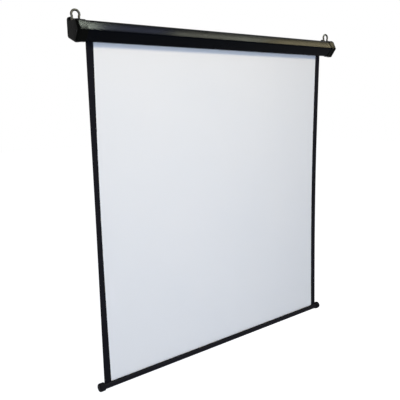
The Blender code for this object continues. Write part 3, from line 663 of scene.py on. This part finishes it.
def bare_metal(name, colour, other, low, high):
    """Plated or oiled steel: drawn lines, and patches where the plating is duller."""
    made = Finish(name, colour, low, metallic=1.0)
    made.relief(made.pattern(LINES, Width=0.0006), depth=0.00002)
    made.wear(other, low, high, size=0.012)
    return made.material


# Each finish has its colour, the other colour in its patches, and its lowest and highest roughness
SHEET_WHITE = cloth("sheet_matte_white", (0.83, 0.84, 0.85), (0.815, 0.83, 0.845), 0.9)
SHEET_BLACK = cloth("sheet_black_border", (0.006, 0.006, 0.009), (0.008, 0.008, 0.011), 0.75)
SHEET_REVERSE = cloth("sheet_dark_reverse", (0.020, 0.020, 0.022), (0.025, 0.025, 0.027), 0.8)
CASE_COAT = coated_metal(
    "case_satin_coat", (0.0006, 0.001, 0.0022), (0.0008, 0.0013, 0.0028), 0.13, 0.16, specular=0.02
)
BAR_COAT = coated_metal(
    "bar_satin_coat", (0.006, 0.006, 0.009), (0.008, 0.008, 0.011), 0.4, 0.5, specular=0.04
)
CAP_BLACK = moulded(
    "cap_moulded_black", (0.001, 0.0013, 0.001), (0.0014, 0.0017, 0.0013), 0.16, 0.22, specular=0.02
)
BAR_CAP_BLACK = moulded(
    "bar_cap_moulded_black", (0.006, 0.006, 0.008), (0.008, 0.008, 0.010), 0.5, 0.6
)
SCREW_BLACK = bare_metal("screw_black_finish", (0.03, 0.03, 0.032), (0.02, 0.02, 0.021), 0.35, 0.5)
LOOP_STEEL = bare_metal("loop_dull_steel", (0.07, 0.07, 0.06), (0.05, 0.05, 0.042), 0.38, 0.5)
ZINC_STEEL = bare_metal("bright_zinc_plate", (0.58, 0.59, 0.60), (0.48, 0.49, 0.51), 0.28, 0.45)
SPRING_STEEL = bare_metal("oiled_spring_steel", (0.24, 0.24, 0.25), (0.16, 0.16, 0.17), 0.25, 0.42)
NYLON = moulded(
    "natural_nylon", (0.62, 0.61, 0.56), (0.57, 0.56, 0.50), 0.5, 0.6, grain=0.0015, specular=0.4
)
CLOTH_FINISHES = [SHEET_WHITE, SHEET_BLACK, SHEET_REVERSE]


# The sheet, hanging, wound and hemmed


def sheet_columns(border_steps, middle_steps):
    """Shares across the width, finer on the two borders, with one on each border's inner edge."""
    border = BORDER_WIDTH / SHEET_WIDTH
    left = np.linspace(0, border, border_steps + 1)
    middle = np.linspace(border, 1 - border, middle_steps + 1)
    return np.concatenate([left[:-1], middle, 1 - left[-2::-1]])


def across_width(columns, depth, height):
    """A line of (depth, height) points drawn out across the sheet's width."""
    x = -SHEET_WIDTH / 2 + columns * SHEET_WIDTH
    depth, height = depth[:, None] + 0 * x, height[:, None] + 0 * x
    return np.stack([x + 0 * depth, -depth, height], -1)


def cloth_kinds(columns, sides, cell_columns, front_side):
    """Each face's material: 0 white front, 1 black border, 2 reverse."""
    middle = (columns[:-1] + columns[1:])[cell_columns] / 2 * SHEET_WIDTH
    border = (middle < BORDER_WIDTH) | (middle > SHEET_WIDTH - BORDER_WIDTH)
    return np.where(sides == front_side, np.where(border, 1, 0), 2)


def add_cloth_map(piece, up):
    """A UV map in metres over the cloth: across from its left edge, and up as a function of the
    corners' places gives it."""
    mesh = piece.data
    layer = mesh.uv_layers.new(name=CLOTH_MAP)
    corners = np.zeros(len(mesh.loops), np.int32)
    mesh.loops.foreach_get("vertex_index", corners)
    co = np.zeros(len(mesh.vertices) * 3, np.float32)
    mesh.vertices.foreach_get("co", co)
    co = co.reshape(-1, 3)[corners]
    across = co[:, 0] + SHEET_WIDTH / 2 * MM
    layer.data.foreach_set("uv", np.stack([across, up(co)], -1).astype(np.float32).ravel())


def cloth_piece(name, outer, inner, columns, up, front_side=0):
    """A piece of the sheet between its outer and inner side. front_side says which one is the
    front: 0 the outer, 1 the inner."""
    points, faces, sides, cell_columns = walled(outer, inner)
    kinds = cloth_kinds(columns, sides, cell_columns, front_side)
    piece = solid(name, points, faces, CLOTH_FINISHES, kinds)
    add_cloth_map(piece, up)
    return piece


def from_foot(co):
    """How far up from the sheet's foot the corners lie."""
    return co[:, 2] - SHEET_FOOT * MM


def hanging_place(across, up):
    """across runs 0 to 1 from the left edge and up runs 0 to 1 from the bar to the roller. Both
    ends are straight. Between them the sheet bows to the wall as half a sine wave, and slow ripples
    run down it as a sine. Its left border turns forwards, each point as if on an arm: the arm's
    angle follows the half sine wave, and its length is a power of the distance from the border's
    inner edge."""
    wave = np.sin(np.pi * up)
    bow = (BOW_LEFT + (BOW_RIGHT - BOW_LEFT) * across) * wave
    ripple = RIPPLE_HEIGHT * wave * np.sin(2 * np.pi * (RIPPLES_ACROSS * across + RIPPLES_UP * up))
    left = across * SHEET_WIDTH
    turn = BORDER_CURL * wave
    inwards = np.maximum(0.0, BORDER_WIDTH - left)
    arm = BORDER_WIDTH * (inwards / BORDER_WIDTH) ** CURL_POWER
    x = -SHEET_WIDTH / 2 + left + arm * (1 - np.cos(turn))
    y = -SHEET_DEPTH + bow + ripple - arm * np.sin(turn)
    z = SHEET_FOOT + (SHEET_TOP - SHEET_FOOT) * up
    return np.stack([x, y, z], -1)


def hanging_sheet():
    """The sheet between the roller and the bar."""
    columns = sheet_columns(border_steps=10, middle_steps=80)
    rows = 121
    across, up = np.meshgrid(columns, np.linspace(0, 1, rows))
    middle = hanging_place(across, up)
    half = np.array([0.0, SHEET_THICK / 2, 0.0])
    sheet = cloth_piece("hanging_sheet", middle - half, middle + half, columns, from_foot)
    dress(sheet, "case", "screen_cloth", "screen_cloth")
    length = SHEET_TOP - SHEET_FOOT
    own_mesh(sheet)
    return sheet, (SHEET_WIDTH * MM, length * MM)


def wound_sheet():
    """The turns that stay on the roller: a spiral that starts on the wall side, runs over the top
    and comes in by one pitch a turn. Its radius falls evenly with the turn. Its front lies on the
    inside of the roll."""
    turns = (WRAP_OUT - WRAP_IN) / WRAP_PITCH
    steps_a_turn = 96
    angle = np.linspace(GAP / WRAP_OUT, 2 * np.pi * turns, int(steps_a_turn * turns))
    radius = WRAP_OUT - WRAP_PITCH * angle / (2 * np.pi)
    columns = sheet_columns(border_steps=2, middle_steps=24)

    def layer(offset):
        """The spiral moved out by an offset."""
        reach = radius + offset
        depth = ROLLER_DEPTH - reach * np.cos(angle)
        height = ROLLER_HEIGHT + reach * np.sin(angle)
        return across_width(columns, depth, height)

    def around(co):
        """How far round the roll the corners lie."""
        turn = np.arctan2(co[:, 2] - ROLLER_HEIGHT * MM, co[:, 1] + ROLLER_DEPTH * MM)
        return turn * WRAP_OUT * MM

    outer, inner = layer(SHEET_THICK / 2), layer(-SHEET_THICK / 2)
    sheet = cloth_piece("wound_sheet", outer, inner, columns, around, front_side=1)
    dress(sheet, "roller", "screen_cloth", "wound_cloth")
    length = float(radius.mean() * (angle[-1] - angle[0])) * MM
    return sheet, (SHEET_WIDTH * MM, length)


def hem_sheet():
    """The sheet's foot: straight down through the bar's slot and round the rod as a circle."""
    rod = HEM_ROD + GAP + SHEET_THICK / 2
    angle = np.linspace(HEM_START, HEM_STOP, num=60)
    loop = np.stack([rod * np.cos(angle), HEM_RISE + rod * np.sin(angle)], -1)
    top = SHEET_FOOT - BAR_HEIGHT - HEM_TOP_GAP
    drop = np.linspace(top, loop[0, 1] + HEM_JOIN, num=6)
    straight = np.stack([np.zeros(len(drop)), drop], -1)
    path = np.concatenate([straight, loop])
    along = np.gradient(path, axis=0)
    along /= np.linalg.norm(along, axis=1, keepdims=True)
    normal = np.stack([-along[:, 1], along[:, 0]], -1)
    columns = sheet_columns(border_steps=2, middle_steps=24)

    def layer(offset):
        """The path moved sideways by an offset."""
        line = path + normal * offset
        return across_width(columns, SHEET_DEPTH + line[:, 0], BAR_HEIGHT + line[:, 1])

    outer, inner = layer(SHEET_THICK / 2), layer(-SHEET_THICK / 2)
    hem = cloth_piece("sheet_hem", outer, inner, columns, from_foot)
    dress(hem, "bottom_bar", "screen_cloth", "cloth_hem")
    return hem


hanging, hanging_flat = hanging_sheet()
wound, wound_flat = wound_sheet()
hem = hem_sheet()


# The case


def case_wall():
    """The case's section carried along X: a rounded path from the slot's back lip over the back,
    top and front to its front lip, as a wall of even thickness. The top is open at both ends of the
    case, where the hanging loops stand."""
    middle = inset(CASE_SECTION, CASE_WALL / 2)
    foot = middle[-2]
    run = middle[-1] - foot
    lips = [foot + run * (d - foot[0]) / run[0] for d in (SLOT_BACK, SLOT_FRONT)]
    # A lip, the two back corners, the shoulder's two, the nose's two, the two below, and a lip
    around = np.concatenate([lips[:1], middle[-1:], middle[:-1], lips[1:]])
    shoulder, nose = slice(3, 5), slice(5, 7)
    corner = np.full(len(around), CASE_CORNER - CASE_WALL / 2)
    corner[shoulder] = CASE_SHOULDER - CASE_WALL / 2
    corner[nose] = CASE_NOSE - CASE_WALL / 2
    path, normal = rounded(around, corner, closed=False)
    path, normal = with_notch(path, normal)
    outside, inside = lipped(path, normal, CASE_WALL)
    stations = (-CASE_END, -NOTCH_START, NOTCH_START, CASE_END)
    outer = np.stack([placed(outside, x) for x in stations])
    inner = np.stack([placed(inside, x) for x in stations])
    on_top = (outside[:-1, 1] > 0) & (outside[1:, 1] > 0)
    centre = (outside[:-1, 0] + outside[1:, 0]) / 2
    notched = on_top & (np.abs(centre - LOOP_DEPTH) < NOTCH_HALF)
    whole = np.ones((len(stations) - 1, len(outside) - 1), bool)
    whole[0, notched] = False
    whole[-1, notched] = False
    points, faces, _, _ = walled(outer, inner, whole)
    return points, faces


def with_notch(path, normal):
    """The path with two more points on its top, at the notch's back and front edge."""
    notch = [LOOP_DEPTH - NOTCH_HALF, LOOP_DEPTH + NOTCH_HALF]
    past = next(k for k, (depth, height) in enumerate(path) if height > 0 and depth > notch[0])
    run = path[past] - path[past - 1]
    cuts = [path[past - 1] + run * (d - path[past - 1, 0]) / run[0] for d in notch]
    path = np.insert(path, past, cuts, axis=0)
    return path, np.insert(normal, past, [normal[past]] * 2, axis=0)


def case_extrusion():
    """The walled section with three screw ports along its inside, bored right through."""
    points, faces = case_wall()
    case = solid("case_extrusion", points, faces, [CASE_COAT])
    reach = CASE_END - GAP
    through = CASE_END + PAST
    ports = [round_bar(PORT_RADIUS, -reach, reach, d, h, count=32) for d, h in SCREW_PORTS]
    bores = [round_bar(PORT_BORE, -through, through, d, h, count=24) for d, h in SCREW_PORTS]
    carve(case, "UNION", ports)
    carve(case, "DIFFERENCE", bores)
    dress(case, "case", "case_paint", "case_shell")


case_extrusion()


# The end mouldings


def moulding_outline(share, drawn, wall, sections):
    """Two sections blended by a share. Every side but the last, which lies on the wall, is moved in
    by the distance drawn in, and all of them by the moulding's own wall."""
    low, high = np.array(sections, float)
    moved = np.full(len(low), drawn + wall)
    moved[-1] = wall
    outline = inset(low + (high - low) * share, moved)
    return rounded(outline, CAP_CORNER - CORNER_LOSS_DRAWN * drawn - CORNER_LOSS_WALL * wall)[0]


def raised_and_rounded(end, radius, steps):
    """Rows of (x, share of the end section, distance drawn in). The share eases from 0 to 1 over
    the rise, and the last rows are drawn in as a quarter circle that meets the end."""
    start, stop = CAP_RAISE
    way = np.linspace(0, 1, num=9)
    rows = [(x, share, 0.0) for x, share in zip(start + (stop - start) * way, eased(way))]
    for angle in np.linspace(0, math.pi / 2, num=steps):
        x = end - radius * (1 - math.sin(angle))
        rows.append((x, 1.0, radius * (1 - math.cos(angle))))
    return rows


def shell_of(side, rows, wall=0.0, sections=(CAP_RIM_SECTION, CAP_END_SECTION)):
    """A closed shell through the outlines that the rows give."""
    outlines = []
    for x, share, drawn in rows:
        outlines.append((side * x, moulding_outline(share, drawn, wall, sections)))
    return lofted(outlines)


def moulding_shell(side):
    """The outside of an end moulding: the rim's section, its edge taken off, eased into the larger
    end section and drawn in round the end face as a quarter circle."""
    edge = [(CAP_RIM + past, 0.0, drawn) for past, drawn in CAP_RIM_EDGE]
    return shell_of(side, edge + raised_and_rounded(CAP_END, CAP_ROUND, steps=10))


def ear_shell(side):
    """The ear that stands up on the wall side: it rises and is drawn in as the moulding is."""
    rows = raised_and_rounded(CAP_END, CAP_ROUND, steps=10)
    return shell_of(side, rows, sections=(EAR_LOW_SECTION, EAR_END_SECTION))


def hollow_shell(side):
    """The space inside the moulding past the end plate: the same outlines, one wall further in."""
    rows = raised_and_rounded(CAP_END - CAP_WALL, CAP_ROUND - CAP_WALL, steps=7)
    return shell_of(side, rows, CAP_WALL)


def sleeve_shell(side):
    """The space inside the moulding's rim: the case's section with a little room all round."""
    outline = rounded(inset(CASE_SECTION, -SLEEVE_GAP), CASE_CORNER)[0]
    return lofted([(side * (CAP_RIM - PAST), outline), (side * (PLATE_OUT + GAP), outline)])


def rounded_slot(side, low, high):
    """A slot for a loop's leg: a rounded rectangle in plan, carried straight down."""
    centre = np.array([side * (low + high) / 2, -LOOP_DEPTH])
    half = np.array([(high - low) / 2, LEG_SLOT_HALF])
    corners = centre + half * np.array([(-1, -1), (-1, 1), (1, 1), (1, -1)])
    plan = rounded(corners, LEG_SLOT_CORNER, steps=4)[0]
    levels = (LEG_SLOT_FOOT, LEG_SLOT_TOP)
    return capped([np.column_stack([plan, np.full(len(plan), z)]) for z in levels])


def end_moulding(side, word):
    """The shell with its ear, hollowed out, with a boss, a hole and a sunk seat for each screw and
    a slot for each leg of the loop. The inner slot runs out through the rim."""
    points, faces = moulding_shell(side)
    cap = solid(f"{word}_end_moulding", points, faces, [CAP_BLACK])
    carve(cap, "UNION", [ear_shell(side)])
    carve(cap, "DIFFERENCE", [sleeve_shell(side), hollow_shell(side)])
    boss = side * BOSS_START, side * BOSS_END
    hole = side * (BOSS_START - PAST), side * (CAP_END + PAST)
    seat = side * (CAP_END - SEAT_DEPTH), side * (CAP_END + PAST)
    carve(cap, "UNION", [round_bar(BOSS_RADIUS, *boss, d, h) for d, h in CAP_SCREWS])
    cuts = []
    for depth, height in CAP_SCREWS:
        cuts.append(round_bar(SCREW_HOLE, *hole, depth, height, count=32))
        cuts.append(round_bar(SEAT_RADIUS, *seat, depth, height))
    leg = LOOP_WIRE + GAP
    inner_leg, outer_leg = LOOP_X - LOOP_LEGS, LOOP_X + LOOP_LEGS
    cuts.append(rounded_slot(side, LEG_SLOT_START, inner_leg + leg))
    cuts.append(rounded_slot(side, outer_leg - leg, outer_leg + leg))
    carve(cap, "DIFFERENCE", cuts)
    dress(cap, "case", "cap_plastic", f"{word}_end_cap")


def pan_screw(side, depth, height, node):
    """A pan-head screw seen from its end. Over the head, height is a low dome less a cross recess.
    The dome falls as a power of the distance from its middle. The recess is two bars at right
    angles, faded out at their sides and ends. The shank is a plain stem behind the head."""
    x = side * (CAP_END - SCREW_SUNK)
    ring = np.linspace(0, 1, SCREW_RINGS)[:, None]
    turn = (np.arange(SCREW_SIDES) * 2 * np.pi / SCREW_SIDES)[None]
    across, up = ring * np.cos(turn) * SCREW_HEAD, ring * np.sin(turn) * SCREW_HEAD
    bar = np.minimum(np.abs(across), np.abs(up))
    reach = np.maximum(np.abs(across), np.abs(up))
    recess = np.clip((RECESS_HALF - bar) / RECESS_SIDE_FADE, 0, 1)
    recess = recess * np.clip((RECESS_REACH - reach) / RECESS_END_FADE, 0, 1)
    dome = SCREW_RISE - DOME_FALL * ring**DOME_POWER
    out = dome + 0 * turn - RECESS_DEEP * recess
    head = np.stack([x - side * (SCREW_RISE - out), -depth + across, height + up], -1)
    foot = x - side * SCREW_RISE
    rows = [(SCREW_HEAD, foot), (SCREW_STEM, foot)]
    rows += [(SCREW_STEM, x - side * STEM_LENGTH), (0.0, x - side * STEM_POINT)]
    stem, _ = turned(rows, depth, height, SCREW_SIDES)
    points = np.concatenate([head, stem])
    faces = grid_faces(len(points), SCREW_SIDES, wrap=True)
    screw = solid(f"{node}_head", points, faces, [SCREW_BLACK])
    dress(screw, "case", "black_screws", node)


for side, word in ENDS:
    end_moulding(side, word)
    for number, (depth, height) in enumerate(CAP_SCREWS, 1):
        pan_screw(side, depth, height, f"{word}_cap_screw_{number}")


# The hanging loops


def loop_path(side):
    """Up one leg, out a little above the cap, round half a circle and down the other leg. The flare
    eases in and out."""
    top = LOOP_TOP - LOOP_WIRE - LOOP_BOW
    share = np.linspace(0, 1, num=12)
    reach = LOOP_LEGS + (LOOP_BOW - LOOP_LEGS) * eased(share)
    flare = np.stack([-reach, top - LOOP_FLARE * (1 - share)], -1)
    rise = np.linspace(LOOP_PIN, top - LOOP_FLARE - 1, num=8)
    foot = np.stack([np.full(len(rise), -LOOP_LEGS), rise], -1)
    up = np.concatenate([foot, flare])
    angle = np.linspace(math.pi, 0, num=37)[1:-1]
    bow = np.stack([LOOP_BOW * np.cos(angle), top + LOOP_BOW * np.sin(angle)], -1)
    down = up[::-1] * np.array([-1.0, 1.0])
    line = np.concatenate([up, bow, down])
    return np.stack([side * LOOP_X + line[:, 0], np.full(len(line), -LOOP_DEPTH), line[:, 1]], -1)


def hanging_loop(side, word):
    """The bent wire with a bored eye at the foot of each leg."""
    points, faces = swept(loop_path(side), LOOP_WIRE)
    loop = solid(f"{word}_wire_loop", points, faces, [LOOP_STEEL])
    eyes, bores = [], []
    for leg in (-LOOP_LEGS, LOOP_LEGS):
        x = side * LOOP_X + leg
        eye, bore = (x - EYE_HALF, x + EYE_HALF), (x - BORE_HALF, x + BORE_HALF)
        eyes.append(round_bar(LOOP_EYE, *eye, LOOP_DEPTH, LOOP_PIN))
        bores.append(round_bar(LOOP_BORE, *bore, LOOP_DEPTH, LOOP_PIN, count=32))
    carve(loop, "UNION", eyes)
    carve(loop, "DIFFERENCE", bores)
    dress(loop, f"{word}_hanger", "loop_steel", f"{word}_hanger_loop")


for side, word in ENDS:
    hanging_loop(side, word)


# The bottom bar


def bar_body():
    """A round tube with a slot along its top: an arc of just under a full turn carried along X, its
    two lips rounded over."""
    middle = BAR_RADIUS - BAR_WALL / 2
    half_slot = math.asin(BAR_SLOT / 2 / middle)
    angle = np.linspace(math.pi / 2 - half_slot, half_slot - 3 * math.pi / 2, num=97)
    spoke = np.stack([np.cos(angle), np.sin(angle)], -1)
    outside, inside = lipped((SHEET_DEPTH, BAR_HEIGHT) + spoke * middle, spoke, BAR_WALL)
    outer = np.stack([placed(outside, x) for x in (-BAR_END, BAR_END)])
    inner = np.stack([placed(inside, x) for x in (-BAR_END, BAR_END)])
    points, faces, _, _ = walled(outer, inner)
    bar = solid("bar_body", points, faces, [BAR_COAT])
    dress(bar, "bottom_bar", "bar_paint", "bar_tube")


def bar_end(side, word):
    """A turned cup over the tube's end, its outer edge a quarter circle."""
    angle = np.linspace(0, math.pi / 2, num=12)
    edge = np.stack([np.sin(angle), np.cos(angle)], -1) * BAR_CAP_EDGE
    corner = edge + (BAR_CAP_RADIUS - BAR_CAP_EDGE, BAR_CAP_END - BAR_CAP_EDGE)
    rim = [(BAR_CAP_RADIUS - drawn, BAR_CAP_RIM + past) for drawn, past in BAR_CAP_RIM_EDGE]
    inside = BAR_RADIUS + GAP
    floor = BAR_END + GAP
    profile = [(0.0, BAR_CAP_END), *corner.tolist(), *rim]
    profile += [(inside, BAR_CAP_RIM), (inside, floor), (0.0, floor)]
    profile = [(radius, side * x) for radius, x in profile]
    points, faces = turned(profile, SHEET_DEPTH, BAR_HEIGHT, count=80)
    cap = solid(f"{word}_bar_end", points, faces, [BAR_CAP_BLACK])
    dress(cap, "bottom_bar", "cap_plastic", f"{word}_bar_cap")


bar_body()
for side, word in ENDS:
    bar_end(side, word)


# The metal and nylon inside the case, kept as the frame has it

AT_BOTH_ENDS = ("end_plate", "hanger_pin", "plate_screw_1", "plate_screw_2", "plate_screw_3")
ZINC_NODES = [f"{word}_{name}" for name in AT_BOTH_ENDS for _, word in ENDS]
ZINC_NODES += ["roller_tube", "gudgeon_pin", "spring_shaft", "hem_rod"]
ZINC_NODES += ["upper_pawl_pivot", "lower_pawl_pivot", "upper_pawl_stop", "lower_pawl_stop"]
SPRING_NODES = ["torsion_spring", "ratchet_cam", "upper_pawl", "lower_pawl"]
NYLON_NODES = ["ratchet_plug", "idle_plug", "roller_bush", "shaft_anchor"]
MERGE_REACH = 0.00001
EDGE_ANGLE = math.radians(35)


def smooth_node(name, paint):
    """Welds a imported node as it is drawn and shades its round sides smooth."""
    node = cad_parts[name]
    node.data.materials.clear()
    node.data.materials.append(paint)
    node.data.polygons.foreach_set("use_smooth", np.ones(len(node.data.polygons), bool))
    merge = node.modifiers.new("merge", "WELD")
    merge.merge_threshold = MERGE_REACH
    split = node.modifiers.new("edges", "EDGE_SPLIT")
    split.split_angle = EDGE_ANGLE


for names, paint in (
    (ZINC_NODES, ZINC_STEEL),
    (SPRING_NODES, SPRING_STEEL),
    (NYLON_NODES, NYLON),
):
    for name in names:
        smooth_node(name, paint)


# The room


def seen_directly(tree):
    """1 where a camera, glossy or transmission ray looks, and 0 for the light that falls on
    things."""
    path = tree.nodes.new("ShaderNodeLightPath")
    glossy = calc(tree, "MAXIMUM", path.outputs["Is Camera Ray"], path.outputs["Is Glossy Ray"])
    return calc(tree, "MAXIMUM", glossy, path.outputs["Is Transmission Ray"])


def white_world():
    """White where it is seen, and a weak cool light for everything else."""
    world = bpy.data.worlds.new("pale_room")
    world.use_nodes = True
    bpy.context.scene.world = world
    tree = world.node_tree
    tree.nodes.clear()
    fill, white = (tree.nodes.new("ShaderNodeBackground") for _ in range(2))
    fill.inputs["Color"].default_value = FILL_COLOUR
    fill.inputs["Strength"].default_value = FILL_STRENGTH
    white.inputs["Color"].default_value = WHITE
    mix = tree.nodes.new("ShaderNodeMixShader")
    linked(tree, seen_directly(tree), mix.inputs[0])
    linked(tree, fill.outputs[0], mix.inputs[1])
    linked(tree, white.outputs[0], mix.inputs[2])
    linked(tree, mix.outputs[0], tree.nodes.new("ShaderNodeOutputWorld").inputs[0])


def pale_floor():
    """A wide floor. Looked at, it is lifted to white and still darkened where the object shades
    it."""
    half = FLOOR_SIZE / 2
    mesh = bpy.data.meshes.new("floor")
    corners = [(-half, -half), (half, -half), (half, half), (-half, half)]
    mesh.from_pydata([(x, y, FLOOR_HEIGHT) for x, y in corners], [], [(0, 1, 2, 3)])
    floor = bpy.data.objects.new("floor", mesh)
    bpy.context.scene.collection.objects.link(floor)
    paint = bpy.data.materials.new("pale_floor")
    paint.use_nodes = True
    tree = paint.node_tree
    shader = tree.nodes["Principled BSDF"]
    shader.inputs["Base Color"].default_value = (0.8, 0.8, 0.8, 1.0)
    shader.inputs["Roughness"].default_value = 0.9
    shader.inputs["Specular IOR Level"].default_value = 0.0
    shader.inputs["Emission Color"].default_value = WHITE
    lift = calc(tree, "MULTIPLY", seen_directly(tree), FLOOR_LIFT)
    linked(tree, lift, shader.inputs["Emission Strength"])
    mesh.materials.append(paint)


def soft_lamp(name, place, target, size, watts, colour, gloss_only=False):
    """A rectangular lamp. gloss_only makes it a reflector that shows in shiny faces and lights
    nothing."""
    data = bpy.data.lights.new(name, "AREA")
    data.shape = "RECTANGLE"
    data.size, data.size_y = size
    data.energy = watts
    data.color = colour
    lamp = bpy.data.objects.new(name, data)
    lamp.location = place
    aim = Vector(target) - Vector(place)
    lamp.rotation_euler = aim.to_track_quat("-Z", "Y").to_euler()
    lamp.visible_diffuse = not gloss_only
    bpy.context.scene.collection.objects.link(lamp)


def camera():
    """The camera, with the place, turn and lens given above."""
    data = bpy.data.cameras.new("camera")
    data.lens = CAMERA_LENS
    data.sensor_width = CAMERA_SENSOR
    made = bpy.data.objects.new("camera", data)
    made.location = CAMERA_PLACE
    made.rotation_euler = Euler([math.radians(a) for a in CAMERA_TURN], "XYZ")
    bpy.context.scene.collection.objects.link(made)
    bpy.context.scene.camera = made


white_world()
pale_floor()
for lamp in LAMPS:
    soft_lamp(*lamp)
for name, x, y, size, watts, colour in STRIPS:
    place, target = (x, y, STRIP_HEIGHT), (x, *STRIP_AIM)
    soft_lamp(name, place, target, size, watts, colour, gloss_only=True)
camera()
bpy.context.scene.view_settings.view_transform = "Standard"
